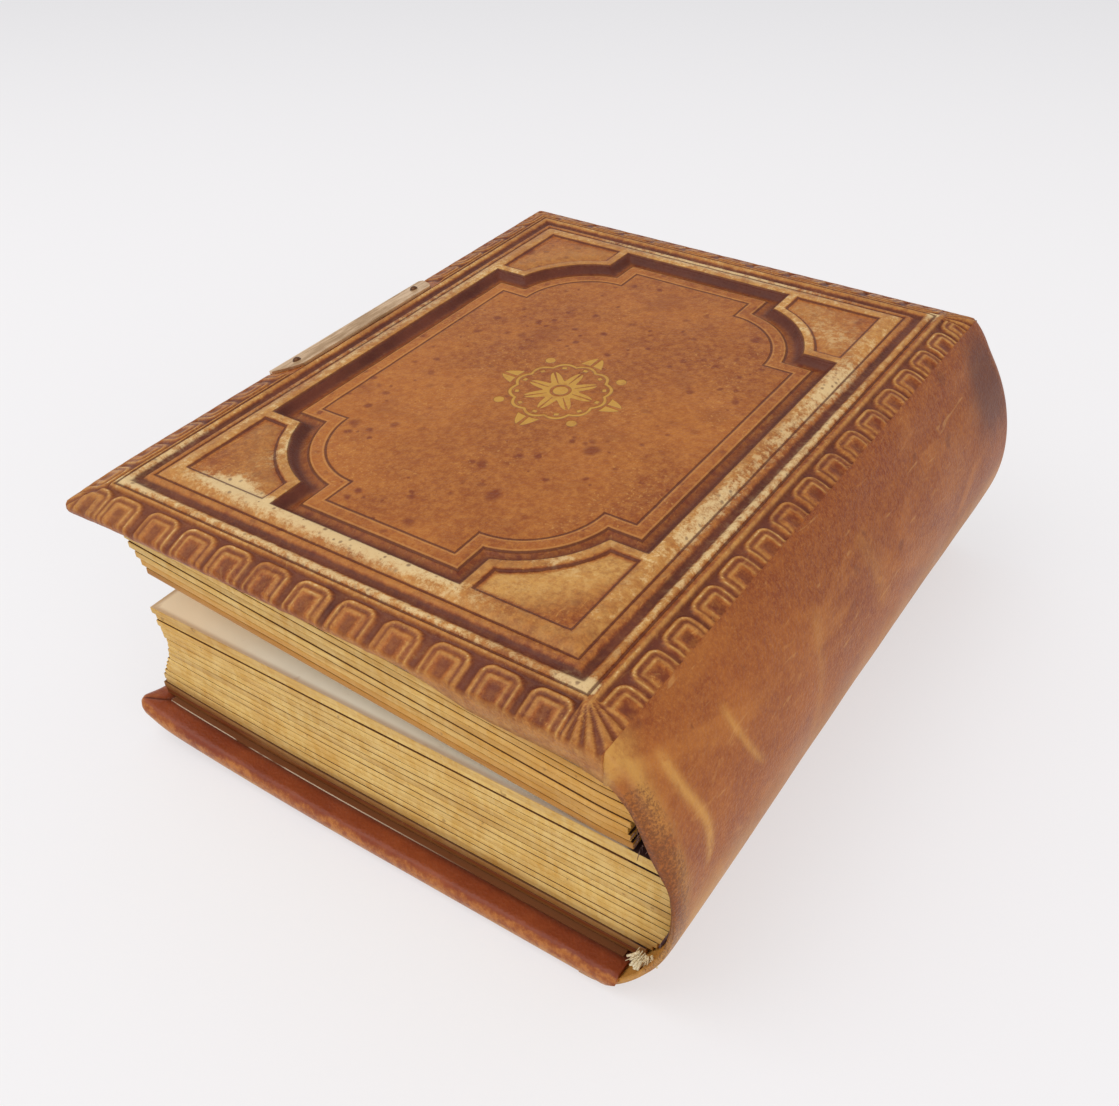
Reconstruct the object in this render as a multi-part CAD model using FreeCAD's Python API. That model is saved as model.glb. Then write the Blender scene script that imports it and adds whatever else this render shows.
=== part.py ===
"""Victorian leather photo album: two embossed boards, a rounded spine, thick card leaves and a brass clasp.

Millimetres. While it is built, x runs from the fore edge of the boards towards the spine, y from the
head to the tail and z up from the table the album lies on. Each piece is then moved so that the
origin is the bottom centre of the whole album's box.
"""
import FreeCAD, Part
import math
import os

Vec = FreeCAD.Vector

# --- overall sizes -------------------------------------------------------------------------------
board_length = 157.0          # head to tail
board_width = 126.4           # fore edge to the hinge line
inner_height = 55.9           # between the inner faces of the two covers
cover_thickness = 5.7         # board, leather and turn-in, at the frame line

# --- covers --------------------------------------------------------------------------------------
leather = 1.2                 # on the outer faces and edges of the boards
turn_in = 0.6                 # pared leather folded over the inner faces
turn_in_width = 16.0
endpaper = 0.4
endpaper_inset = 5.0          # from the fore edge, head and tail
corner_radius = 2.5
edge_leather = 1.0            # over the board's bevelled upper edge
border_width = 7.63           # sloping arched border round the front cover
border_drop = 2.4
frame_inset = 11.5            # edge of the raised frame, from the board's edge
panel_inset = 17.2            # edge of the lobed panel inside the raised frame
frame_rise = 1.4
lobe_centre = 30.45           # from the panel's corner, both ways
lobe_radius = 23.4
lobe_notch = 23.4             # where the straight side stops, from the panel's corner
bow_start = 66.0              # the back board is bowed up between here and its fore edge
bow_lift = 3.0                # lift at the front cover's fore edge
overhang = 0.9                # the back cover stands out past the front one at the fore edge and head

# --- spine ---------------------------------------------------------------------------------------
spine_bulge = 13.0            # crown of the spine beyond the hinge line
joint_low = 3.1               # height of the line where the spine meets the back cover
spine_leather = 1.5
spine_lining = 0.8
lining_low = 10.0
lining_high = 50.0
lining_inset = 3.0            # lining's ends, from head and tail

# --- leaves --------------------------------------------------------------------------------------
leaf = 1.8                    # one card leaf
lower_leaves = 17
upper_leaves = 8
square = 5.2                  # boards stand this far past the leaves at head and tail
cover_clearance = 0.25        # between the leaves and each endpaper
lower_fore_low = 3.2          # fore edge of the lower leaves at the bottom, the middle and the top
lower_fore_deep = 9.3
lower_fore_top = 7.6
upper_fore_low = 11.8         # and of the upper leaves, which have fanned away from the lower ones
upper_fore_deep = 10.0
upper_fore_top = 5.5
wedge_root = 5.0              # where the two stacks part, short of the hinge line
upper_shoulder = 16.5         # rounded back of the upper stack starts this far short of the hinge line
lower_shoulder = 5.0          # the lower stack's top leaf ends this far past the hinge line
shoulder_depth = 6.5

# --- clasp ---------------------------------------------------------------------------------------
clasp_middle = 80.7           # from the head
rivet_spacing = 39.8
rivet_inset = 3.3             # from the fore edge
rivet_head = 1.05
rivet_shank = 0.55
rivet_depth = 2.6
rivet_sink = 0.3              # the head is less than half a ball by this much
plate = 0.6
flange = 7.3
ear = 5.8                     # plate beyond each rivet
ear_taper = 4.4
catch_short = 1.0             # the catch plate stops this far below the back cover's inner face
barrel_radius = 1.3
barrel_gap = 0.05             # between the barrel and the board's edge
barrel_drop = 3.3             # barrel's centre below the top of the board's edge
barrel_half = 16.0
knuckle = 6.0                 # length of each of the plate's two knuckles
knuckle_gap = 0.3
pin_radius = 0.6
pin_clearance = 0.05
hasp_thickness = 0.7
hasp_tip_half = 6.0
hasp_end = 2.6                # lower end above the table
hasp_waist = 1.6              # the strap's sides curve in this much below its shoulders
lip_reach = 1.1               # finger lip at the lower end
lip_half = 3.0
stud_radius = 0.9
stud_height = 3.0             # above the back board's outer face
stud_clearance = 0.3

# --- headband remnant ----------------------------------------------------------------------------
band_depth = 2.2
band_low = 10.4
band_high = 14.0
band_inset = 1.5

# --- places that follow from the sizes ------------------------------------------------------------
front_under = cover_thickness + inner_height
edge_top = front_under + cover_thickness - border_drop
frame_line = front_under + cover_thickness
board_end = board_width - leather

half_height = (edge_top - joint_low) / 2
crown_height = joint_low + half_height
crown_radius = (half_height ** 2 + spine_bulge ** 2) / (2 * spine_bulge)
crown_centre = (board_width + spine_bulge - crown_radius, crown_height)
crown_angle = math.asin(half_height / crown_radius)
roll_width = joint_low / math.tan((math.pi / 2 - crown_angle) / 2)
block_radius = crown_radius - spine_leather - spine_lining

bow_radius = (bow_start ** 2 + bow_lift ** 2) / (2 * bow_lift)

block_under = cover_thickness + endpaper + cover_clearance
lower_top = block_under + lower_leaves * leaf
upper_top = front_under - endpaper - cover_clearance
upper_under = upper_top - upper_leaves * leaf

barrel_x = -(barrel_radius + barrel_gap)
barrel_z = edge_top - barrel_drop
hasp_inner = barrel_x - barrel_radius + hasp_thickness
hasp_outer = barrel_x - barrel_radius
hasp_half = barrel_half - knuckle - knuckle_gap

centre_x = (board_width + spine_bulge + hasp_outer - lip_reach) / 2
centre_y = (board_length - overhang) / 2
origin_shift = Vec(-centre_x, -centre_y, 0)


# --- drawing helpers -----------------------------------------------------------------------------
def at(x, z):
    """A point of a section drawn in the plane y = 0."""
    return Vec(x, 0, z)


def line(start, end):
    return Part.LineSegment(start, end).toShape()


def arc(start, middle, end):
    return Part.Arc(start, middle, end).toShape()


def arc_about(centre, radius, angle_0, angle_1):
    """An arc of a section about a centre, between two angles in radians."""
    def on(angle):
        return at(centre[0] + radius * math.cos(angle), centre[1] + radius * math.sin(angle))
    return arc(on(angle_0), on((angle_0 + angle_1) / 2), on(angle_1))


def end_of(edge):
    return edge.valueAt(edge.LastParameter)


def start_of(edge):
    return edge.valueAt(edge.FirstParameter)


def along_book(edges, y_0, y_1):
    """A section in the plane y = 0, closed by its edges in order, run from y_0 to y_1."""
    solid = Part.Face(Part.Wire(edges)).extrude(Vec(0, y_1 - y_0, 0))
    solid.translate(Vec(0, y_0, 0))
    return solid


def polygon(points, y_0, y_1):
    corners = [at(*p) for p in points]
    return along_book([line(a, b) for a, b in zip(corners, corners[1:] + corners[:1])], y_0, y_1)


def block(x_0, x_1, y_0, y_1, z_0, z_1):
    return Part.makeBox(x_1 - x_0, y_1 - y_0, z_1 - z_0, Vec(x_0, y_0, z_0))


def rounded_rectangle(inset, radius, height):
    """A wire round the cover's plan, in from its edges by inset, with rounded corners."""
    x_0, x_1 = inset, board_width - inset
    y_0, y_1 = inset, board_length - inset
    back = radius * (1 - math.sqrt(0.5))
    edges = []
    for cx, cy, dx, dy in ((x_0, y_0, 1, 1), (x_1, y_0, -1, 1), (x_1, y_1, -1, -1), (x_0, y_1, 1, -1)):
        ends = [Vec(cx, cy + dy * radius, height), Vec(cx + dx * radius, cy, height)]
        if dx * dy < 0:
            ends.reverse()
        edges.append(arc(ends[0], Vec(cx + dx * back, cy + dy * back, height), ends[1]))
    sides = [line(end_of(a), start_of(b)) for a, b in zip(edges, edges[1:] + edges[:1])]
    return Part.Wire([edge for pair in zip(edges, sides) for edge in pair])


def slab_with_slope(inset, z_low, z_edge, z_top, slope):
    """A board-shaped slab with upright edges up to z_edge and a slope inwards from there to z_top."""
    upright = Part.Face(rounded_rectangle(inset, corner_radius, z_low)).extrude(Vec(0, 0, z_edge - z_low))
    rings = [rounded_rectangle(inset, corner_radius, z_edge),
             rounded_rectangle(inset + slope, corner_radius, z_top)]
    return upright.fuse(Part.makeLoft(rings, True, True)).removeSplitter()


def lobed_panel(z_low, z_high):
    """The panel inside the raised frame: a rectangle with a notched quarter-round at each corner."""
    x_0, x_1 = panel_inset, board_width - panel_inset
    y_0, y_1 = panel_inset, board_length - panel_inset
    reach = lobe_centre - math.sqrt(lobe_radius ** 2 - (lobe_centre - lobe_notch) ** 2)
    diagonal = lobe_centre - lobe_radius * math.sqrt(0.5)
    edges = []
    for cx, cy, dx, dy in ((x_0, y_0, 1, 1), (x_1, y_0, -1, 1), (x_1, y_1, -1, -1), (x_0, y_1, 1, -1)):
        def p(u, v):
            return Vec(cx + dx * u, cy + dy * v, z_low)
        stops = [p(0, lobe_notch), p(reach, lobe_notch), p(diagonal, diagonal),
                 p(lobe_notch, reach), p(lobe_notch, 0)]
        if dx * dy < 0:
            stops.reverse()
        if edges:
            edges.append(line(end_of(edges[-1]), stops[0]))
        edges += [line(stops[0], stops[1]), arc(*stops[1:4]), line(stops[3], stops[4])]
    edges.append(line(end_of(edges[-1]), start_of(edges[0])))
    return Part.Face(Part.Wire(edges)).extrude(Vec(0, 0, z_high - z_low))


# --- bowed back board ----------------------------------------------------------------------------
def bowed(x, height):
    """The point of the back cover at a place along it and a height above its outer face."""
    if x >= bow_start:
        return at(x, height)
    angle = math.asin((bow_start - x) / bow_radius)
    radius = bow_radius - height
    return at(bow_start - radius * math.sin(angle), bow_radius - radius * math.cos(angle))


def bowed_edge(x_0, x_1, height):
    """The edges of a face of the back cover from x_0 to x_1, fore edge side first."""
    bend = min(x_1, bow_start)
    edges = []
    if x_0 < bow_start:
        edges.append(arc(bowed(x_0, height), bowed((x_0 + bend) / 2, height), bowed(bend, height)))
    if x_1 > bow_start:
        edges.append(line(bowed(max(x_0, bow_start), height), bowed(x_1, height)))
    return edges


def reverse(edges):
    """The same arcs and lines, gone along the other way."""
    turned = []
    for edge in reversed(edges):
        first, last = edge.FirstParameter, edge.LastParameter
        ends = edge.valueAt(last), edge.valueAt(first)
        if isinstance(edge.Curve, Part.Line):
            turned.append(line(*ends))
        else:
            turned.append(arc(ends[0], edge.valueAt((first + last) / 2), ends[1]))
    return turned


def bowed_slab(x_0, x_1, y_0, y_1, low, high):
    under = bowed_edge(x_0, x_1, low)
    over = reverse(bowed_edge(x_0, x_1, high))
    sides = [line(end_of(under[-1]), start_of(over[0])), line(end_of(over[-1]), start_of(under[0]))]
    return along_book(under + sides[:1] + over + sides[1:], y_0, y_1)


# --- covers --------------------------------------------------------------------------------------
def front_core():
    """Room for the front board inside its leather."""
    return slab_with_slope(leather, front_under + turn_in, edge_top - edge_leather,
                           frame_line - leather, border_width - leather / 2)


def front_board():
    return front_core().cut(rivet_shanks_front())


def pocket(y_inset, low, high):
    """The stretch of a cover's inner face that its turned-in leather leaves bare, unbowed."""
    return block(turn_in_width, board_end, y_inset, board_length - y_inset, low, high)


def front_endpaper():
    face = block(endpaper_inset, board_end, endpaper_inset, board_length - endpaper_inset,
                 front_under - endpaper, front_under)
    filling = pocket(turn_in_width, front_under, front_under + turn_in)
    return face.fuse(filling).removeSplitter()


def front_cover_leather():
    outer = slab_with_slope(0, front_under, edge_top, frame_line, border_width)
    foot, top = frame_line - turn_in, frame_line + frame_rise
    raised = block(frame_inset, board_width - frame_inset, frame_inset, board_length - frame_inset,
                   foot, top).cut(lobed_panel(foot, top + 1))
    bare = pocket(turn_in_width, front_under - 1, front_under + turn_in)
    skin = outer.fuse(raised).cut(front_core()).cut(bare)
    return skin.cut(rivet_shanks_front()).removeSplitter()


def roll_corner():
    """What the back cover loses where its outer face rolls up to the hinge line."""
    start, past = board_width - roll_width, board_width + 1
    radius = (roll_width ** 2 + joint_low ** 2) / (2 * joint_low)
    rolled = arc_about((start, radius), radius, -math.pi / 2, -crown_angle)
    corners = [at(board_width, joint_low), at(past, joint_low), at(past, -1), at(start, -1), at(start, 0)]
    sides = [line(p, q) for p, q in zip(corners, corners[1:])]
    return along_book([rolled] + sides, -overhang - 1, board_length + 1)


def back_core():
    """Room for the back board inside its leather."""
    rim = leather - overhang
    flat = bowed_slab(rim, board_end, rim, board_length - leather, leather, cover_thickness - turn_in)
    roll = roll_corner()
    roll.translate(Vec(-leather, 0, leather))
    return flat.cut(roll)


def back_board():
    return back_core().cut(rivet_shanks_back())


def back_cover_leather():
    outer = bowed_slab(-overhang, board_width, -overhang, board_length, 0, cover_thickness)
    outer = outer.cut(roll_corner())
    upright = [e for e in outer.Edges
               if e.BoundBox.YLength < 0.01 and e.BoundBox.XMax < 2 and e.BoundBox.ZLength > 2]
    outer = outer.makeFillet(corner_radius, upright)
    rim = turn_in_width - overhang
    bare = bowed_slab(rim, board_end, rim, board_length - turn_in_width,
                      cover_thickness - turn_in, cover_thickness + 1)
    return outer.cut(back_core()).cut(bare).cut(rivet_shanks_back())


def back_endpaper():
    edge, rim = endpaper_inset - overhang, turn_in_width - overhang
    face = bowed_slab(edge, board_end, edge, board_length - endpaper_inset,
                      cover_thickness, cover_thickness + endpaper)
    filling = bowed_slab(rim, board_end, rim, board_length - turn_in_width,
                         cover_thickness - turn_in, cover_thickness)
    return face.fuse(filling).removeSplitter()


# --- spine ---------------------------------------------------------------------------------------
def spine_cover():
    """The leather of the spine, from the front cover's hinge line round to the back cover's."""
    inside = crown_radius - spine_leather
    inner_angle = math.acos((board_width - crown_centre[0]) / inside)
    outer = arc_about(crown_centre, crown_radius, crown_angle, -crown_angle)
    inner = arc_about(crown_centre, inside, -inner_angle, inner_angle)
    ends = [line(end_of(outer), start_of(inner)), line(end_of(inner), start_of(outer))]
    return along_book([outer, ends[0], inner, ends[1]], 0, board_length)


def crown_band(outer, inner, z_low, z_high, y_0, y_1):
    """A strip concentric with the spine's crown, between two radii and two heights of its outer face."""
    low = math.asin((z_low - crown_height) / outer)
    high = math.asin((z_high - crown_height) / outer)
    face, back = arc_about(crown_centre, outer, low, high), arc_about(crown_centre, inner, high, low)
    ends = [line(end_of(face), start_of(back)), line(end_of(back), start_of(face))]
    return along_book([face, ends[0], back, ends[1]], y_0, y_1)


def lining():
    outer = crown_radius - spine_leather
    return crown_band(outer, block_radius, lining_low, lining_high,
                      lining_inset, board_length - lining_inset)


def headband_remnant():
    return crown_band(block_radius, block_radius - band_depth, band_low, band_high, band_inset, square)


# --- leaves --------------------------------------------------------------------------------------
def leaf_block():
    """All the leaves as one solid, with the wedge where the upper ones have parted from the lower."""
    def back(z):
        return at(crown_centre[0] + math.sqrt(block_radius ** 2 - (z - crown_height) ** 2), z)
    under = bowed_edge(lower_fore_low, back(block_under).x, block_under)
    low_angle = math.asin((block_under - crown_height) / block_radius)
    shoulder_z = lower_top - shoulder_depth
    high_angle = math.asin((shoulder_z - crown_height) / block_radius)
    root = at(board_width - wedge_root, lower_top)
    fall = (upper_under - lower_top) / (root.x - upper_fore_low)
    shoulder_x = board_width - upper_shoulder
    shoulder = at(shoulder_x, upper_top - fall * (shoulder_x - upper_fore_top))
    drop = shoulder.z - lower_top
    corners = [
        at(board_width + lower_shoulder, lower_top),
        at(board_width, lower_top),
        at(board_width, lower_top + drop / 2),
        shoulder,
        at(upper_fore_top, upper_top),
        at(upper_fore_low, upper_under),
        root,
        at(lower_fore_top, lower_top),
    ]
    rounding = at(board_width - upper_shoulder * 0.3, shoulder.z - drop * 0.17)
    upper_middle = at(upper_fore_deep, (upper_under + upper_top) / 2 - leaf)
    lower_middle = at(lower_fore_deep, lower_top - (lower_top - block_under) * 0.31)
    edges = under + [
        arc_about(crown_centre, block_radius, low_angle, high_angle),
        line(back(shoulder_z), corners[0]),
        line(corners[0], corners[1]),
        line(corners[1], corners[2]),
        arc(corners[2], rounding, corners[3]),
        line(corners[3], corners[4]),
        arc(corners[4], upper_middle, corners[5]),
        line(corners[5], corners[6]),
        line(corners[6], corners[7]),
        arc(corners[7], lower_middle, start_of(under[0])),
    ]
    return along_book(edges, square, board_length - square)


# --- clasp ---------------------------------------------------------------------------------------
slope_angle = math.atan2(border_drop, border_width)
slope_up = Vec(-math.sin(slope_angle), 0, math.cos(slope_angle))
bow_angle = math.asin((bow_start + overhang) / bow_radius)
rivet_ys = (clasp_middle - rivet_spacing / 2, clasp_middle + rivet_spacing / 2)
plate_half = rivet_spacing / 2 + ear


def border_point(x):
    """The point of the front cover's sloping border at a distance from its fore edge."""
    return at(x, edge_top + border_drop * x / border_width)


def to_back_edge(shape):
    """Moves a piece drawn on a flat cover (fore edge at x = 0, outer face at z = 0) to the bowed one."""
    shape.rotate(Vec(0, 0, 0), Vec(0, 1, 0), math.degrees(bow_angle))
    shape.translate(bowed(-overhang, 0))
    return shape


def front_seat(y):
    """The middle of the underside of a rivet's head on the front cover's plate."""
    return border_point(rivet_inset) + slope_up * plate + Vec(0, y, 0)


def back_seat(y):
    """The same on the catch plate, before it is moved to the bowed edge."""
    return Vec(rivet_inset, y, -plate)


def shank(seat, up):
    return Part.makeCylinder(rivet_shank, rivet_depth, seat - up * rivet_depth, up)


def rivet(seat, up):
    """A dome-headed rivet: seat is the middle of the head's underside and up points out of the plate."""
    low_angle = math.degrees(math.asin(rivet_sink / rivet_head))
    cap = Part.makeSphere(rivet_head, seat - up * rivet_sink, up, low_angle, 90, 360)
    return shank(seat, up).fuse(cap).removeSplitter()


def clasp_rivets():
    return Part.makeCompound([rivet(front_seat(y), slope_up) for y in rivet_ys])


def catch_rivets():
    return to_back_edge(Part.makeCompound([rivet(back_seat(y), Vec(0, 0, -1)) for y in rivet_ys]))


def rivet_shanks_front():
    return Part.makeCompound([shank(front_seat(y), slope_up) for y in rivet_ys])


def rivet_shanks_back(bowed_too=True):
    shanks = Part.makeCompound([shank(back_seat(y), Vec(0, 0, -1)) for y in rivet_ys])
    return to_back_edge(shanks) if bowed_too else shanks


def plate_plan(z_low, z_high):
    """The eared outline of a clasp plate, seen from above."""
    plan = [(flange, plate_half - ear_taper), (flange * 0.75, plate_half - ear_taper * 0.6),
            (1.0, plate_half), (-plate - 0.01, plate_half - 0.6)]
    ring = [Vec(x, clasp_middle + y, z_low) for x, y in plan]
    ring += [Vec(x, clasp_middle - y, z_low) for x, y in reversed(plan)]
    return Part.Face(Part.makePolygon(ring + ring[:1])).extrude(Vec(0, 0, z_high - z_low))


def pin_rod(radius, y_0, y_1):
    """A rod along the clasp's hinge line."""
    return Part.makeCylinder(radius, y_1 - y_0, Vec(barrel_x, y_0, barrel_z), Vec(0, 1, 0))


def knuckle_spans():
    low, high = clasp_middle - barrel_half, clasp_middle + barrel_half
    return (low, low + knuckle), (high - knuckle, high)


def clasp_plate():
    """A sheet that lies on the sloping border and turns down over the edge to two knuckles."""
    inner, edge = border_point(flange), border_point(0)
    lift = slope_up * plate
    outer_z = edge_top + plate / 2
    skirt = barrel_z + barrel_radius + knuckle_gap
    section = [(inner.x, inner.z), (edge.x, edge.z), (0, skirt), (-plate, skirt), (-plate, outer_z),
               (edge.x + lift.x, edge.z + lift.z), (inner.x + lift.x, inner.z + lift.z)]
    whole = polygon(section, clasp_middle - plate_half, clasp_middle + plate_half)
    body = whole.common(plate_plan(skirt - 1, frame_line + plate + 1))
    web = [(0, edge_top), (0, skirt), (-barrel_gap, barrel_z), (barrel_x, barrel_z),
           (barrel_x, barrel_z + barrel_radius), (-plate, outer_z)]
    for y_0, y_1 in knuckle_spans():
        knuckle_solid = polygon(web, y_0, y_1).fuse(pin_rod(barrel_radius, y_0, y_1))
        body = body.fuse(knuckle_solid).cut(pin_rod(pin_radius, y_0, y_1))
    return body.cut(rivet_shanks_front()).removeSplitter()


def clasp_pin():
    return pin_rod(pin_radius, clasp_middle - barrel_half, clasp_middle + barrel_half)


def stud_place():
    """Height of the stud's axis above the table where it meets the hasp."""
    edge = bowed(-overhang, stud_height)
    return edge.z + (edge.x - hasp_inner) * math.tan(bow_angle)


def hasp_section(foot_z):
    """The hasp's upper end in section: a straight strap whose top is rolled round the pin."""
    inner_z = barrel_z - math.sqrt(barrel_radius ** 2 - (hasp_inner - barrel_x) ** 2)
    roll_start, roll_end = at(hasp_outer, barrel_z), at(hasp_inner, inner_z)
    far_side = at(barrel_x + barrel_radius * math.cos(0.5), barrel_z + barrel_radius * math.sin(0.5))
    foot_outer, foot_inner = at(hasp_outer, foot_z), at(hasp_inner, foot_z)
    return [line(foot_outer, roll_start), arc(roll_start, far_side, roll_end),
            line(roll_end, foot_inner), line(foot_inner, foot_outer)]


def hasp():
    """A strap with curved sides and a round end, a finger lip and a hole for the stud."""
    shoulder, tip = barrel_z - 3 * barrel_radius, hasp_end + hasp_tip_half
    waist = hasp_half - hasp_waist

    def p(y, z):
        return Vec(hasp_outer, clasp_middle + y, z)
    left, right = p(-hasp_half, shoulder), p(hasp_half, shoulder)
    tip_left, tip_right = p(-hasp_tip_half, tip), p(hasp_tip_half, tip)
    middle = (shoulder + tip) / 2
    outline = [arc(left, p(-waist, middle), tip_left), arc(tip_left, p(0, hasp_end), tip_right),
               arc(tip_right, p(waist, middle), right), line(right, left)]
    strap = Part.Face(Part.Wire(outline)).extrude(Vec(hasp_thickness, 0, 0))
    lip_x, lip_top = hasp_outer - lip_reach, hasp_end + 2 * lip_reach
    lip_section = [(hasp_inner, hasp_end + lip_reach), (lip_x, hasp_end),
                   (lip_x, hasp_end + lip_reach / 2), (hasp_outer, lip_top), (hasp_inner, lip_top)]
    lip = polygon(lip_section, clasp_middle - lip_half, clasp_middle + lip_half)
    hole = Part.makeCylinder(stud_radius + stud_clearance, hasp_thickness + 2,
                             Vec(hasp_outer - 1, clasp_middle, stud_place()), Vec(1, 0, 0))
    low, high = clasp_middle - hasp_half, clasp_middle + hasp_half
    rolled = along_book(hasp_section(shoulder), low, high)
    rolled = rolled.cut(pin_rod(pin_radius + pin_clearance, low, high))
    return rolled.fuse(strap).fuse(lip).cut(hole).removeSplitter()


def stud_blank(length):
    """The stud's cylinder, from the board's edge outwards, before it is moved to the bowed edge."""
    return Part.makeCylinder(stud_radius, length, Vec(0, clasp_middle, stud_height), Vec(-1, 0, 0))


def catch_plate():
    high = cover_thickness - catch_short
    section = [(flange, -plate), (flange, 0), (0, 0), (0, high), (-plate, high), (-plate, -plate)]
    whole = polygon(section, clasp_middle - plate_half, clasp_middle + plate_half)
    body = whole.common(plate_plan(-plate - 1, cover_thickness))
    return to_back_edge(body.cut(stud_blank(plate + 1)).cut(rivet_shanks_back(False)))


def catch_stud():
    lean = stud_radius * math.sin(bow_angle)
    reach = bowed(-overhang, stud_height).x - hasp_inner - stud_clearance - lean
    return to_back_edge(stud_blank(reach / math.cos(bow_angle)))


PIECES = {
    "front_board": front_board,
    "front_cover_leather": front_cover_leather,
    "front_endpaper": front_endpaper,
    "clasp_plate": clasp_plate,
    "clasp_rivets": clasp_rivets,
    "clasp_pin": clasp_pin,
    "hasp": hasp,
    "leaf_block": leaf_block,
    "spine_cover_leather": spine_cover,
    "spine_lining": lining,
    "headband_remnant": headband_remnant,
    "back_board": back_board,
    "back_cover_leather": back_cover_leather,
    "back_endpaper": back_endpaper,
    "catch_plate": catch_plate,
    "catch_stud": catch_stud,
    "catch_rivets": catch_rivets,
}

os.makedirs("parts", exist_ok=True)
for name, make in PIECES.items():
    piece = make()
    piece.translate(origin_shift)
    print(f"{name:22s} solids {len(piece.Solids)}  {piece.Volume:10.1f} mm3  valid {piece.isValid()}")
    piece.exportStep(f"parts/{name}.step")

print("front hinge line", [round(v, 4) for v in (board_width - centre_x, 0, edge_top)])
print("back hinge line", [round(v, 4) for v in (board_width - centre_x, 0, joint_low)])
print("hasp hinge line", [round(v, 4) for v in (barrel_x - centre_x, 0, barrel_z)])
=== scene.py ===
"""Looks of the leather photo album: embossed worn leather, gilt card leaves and a dull brass clasp.

Sizes are in metres. Places come from the frame's boxes: x runs from the fore edge to the spine, y from
the head to the tail and z up from the table.
"""

import math

import bmesh
import bpy
import numpy as np
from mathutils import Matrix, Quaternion, Vector


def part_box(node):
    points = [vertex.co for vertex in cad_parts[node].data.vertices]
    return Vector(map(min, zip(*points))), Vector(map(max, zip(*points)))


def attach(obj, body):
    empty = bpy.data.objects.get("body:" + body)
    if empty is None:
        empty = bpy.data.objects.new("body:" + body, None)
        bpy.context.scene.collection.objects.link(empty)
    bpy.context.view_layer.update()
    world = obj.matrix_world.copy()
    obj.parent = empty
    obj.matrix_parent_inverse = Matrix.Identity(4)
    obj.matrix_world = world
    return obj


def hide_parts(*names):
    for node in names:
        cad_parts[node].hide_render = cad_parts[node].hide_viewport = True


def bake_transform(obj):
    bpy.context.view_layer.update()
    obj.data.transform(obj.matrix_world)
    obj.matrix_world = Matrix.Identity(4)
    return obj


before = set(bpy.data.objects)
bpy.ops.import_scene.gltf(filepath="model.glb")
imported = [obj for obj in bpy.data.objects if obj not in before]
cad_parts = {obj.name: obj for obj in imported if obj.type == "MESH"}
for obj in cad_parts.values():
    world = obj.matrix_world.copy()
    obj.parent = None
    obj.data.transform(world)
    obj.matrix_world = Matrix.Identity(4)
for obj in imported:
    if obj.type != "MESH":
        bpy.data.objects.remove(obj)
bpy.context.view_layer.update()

MM = 0.001
rng = np.random.default_rng(1874)

# --- places taken from the frame ---------------------------------------------------------------
cover_lo, cover_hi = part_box("front_cover_leather")
back_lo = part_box("back_cover_leather")[0]
spine_lo, spine_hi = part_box("spine_cover_leather")
leaves_lo, leaves_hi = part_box("leaf_block")
plate_lo, plate_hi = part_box("clasp_plate")
tuft_lo, tuft_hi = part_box("headband_remnant")
lining_lo, lining_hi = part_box("spine_lining")
endpaper_lo, endpaper_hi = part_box("back_endpaper")
endpaper_half = endpaper_hi.y

fore, hinge_x = cover_lo.x, cover_hi.x
head, tail = cover_lo.y, cover_hi.y
width, length = hinge_x - fore, tail - head

# heights of the front cover: its underside, the top of its edge, the frame line and the highest ridge
cover_under = cover_lo.z
edge_top = spine_hi.z
ridge_top = cover_hi.z
frame_line = ridge_top - 1.4 * MM

# --- the cover's embossing, as distances inwards from the frame line ------------------------------
border = 7.63 * MM             # sloping arched border, outside the frame line
border_drop = frame_line - edge_top
panel_side = 9.6 * MM          # straight sides of the sunken panel's outline
panel_notch = 33.0 * MM        # where those sides stop
lobe_centre = 40.0 * MM
lobe_radius = 23.4 * MM
trench = 3.6 * MM              # width of the slope into the panel
tooled_line = 7.0 * MM         # fine line inside the panel's outline
spandrel_line = 2.7 * MM       # fine line outside it, round the corner panels
# middles of the arches along the short sides, from the frame line's corner, stamped by hand
short_arches = np.array((-1.9, 6.8, 17.2, 27.0, 36.3, 45.8, 55.8, 65.9, 76.1, 86.4, 96.7, 106.6)) * MM
long_arches = np.array([1.8 + 9.33 * n for n in range(16)]) * MM
arch_half_width = 4.0 * MM

# --- spine ---------------------------------------------------------------------------------------
half_height = (spine_hi.z - spine_lo.z) / 2
bulge = spine_hi.x - hinge_x
crown_radius = (half_height ** 2 + bulge ** 2) / (2 * bulge)
crown_x = spine_hi.x - crown_radius
crown_z = spine_lo.z + half_height
crown_angle = math.asin(half_height / crown_radius)
spine_wall = 1.5 * MM
roll_width = 7.6 * MM          # the back cover's outer face rolls up to its hinge line
roll_height = spine_lo.z
roll_radius = (roll_width ** 2 + roll_height ** 2) / (2 * roll_height)

# --- leaves --------------------------------------------------------------------------------------
leaf = 1.8 * MM
lower_leaves = 17
upper_leaves = 8
stack_split = 37.15 * MM       # height of the lower stack's top at the fore edge
bow_start = fore + 66 * MM     # from here to the fore edge the back cover and the leaves bow up
bow_radius = 727.5 * MM
bow_floor = 6.25 * MM          # height of the lowest leaf's underside where it lies flat


# --- node helpers ----------------------------------------------------------------------------------
def tone(red, green, blue):
    """A colour given as 0 to 255 screen values, for a shader socket."""
    def linear(v):
        v /= 255
        return v / 12.92 if v <= 0.04045 else ((v + 0.055) / 1.055) ** 2.4
    return (linear(red), linear(green), linear(blue), 1)


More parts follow.
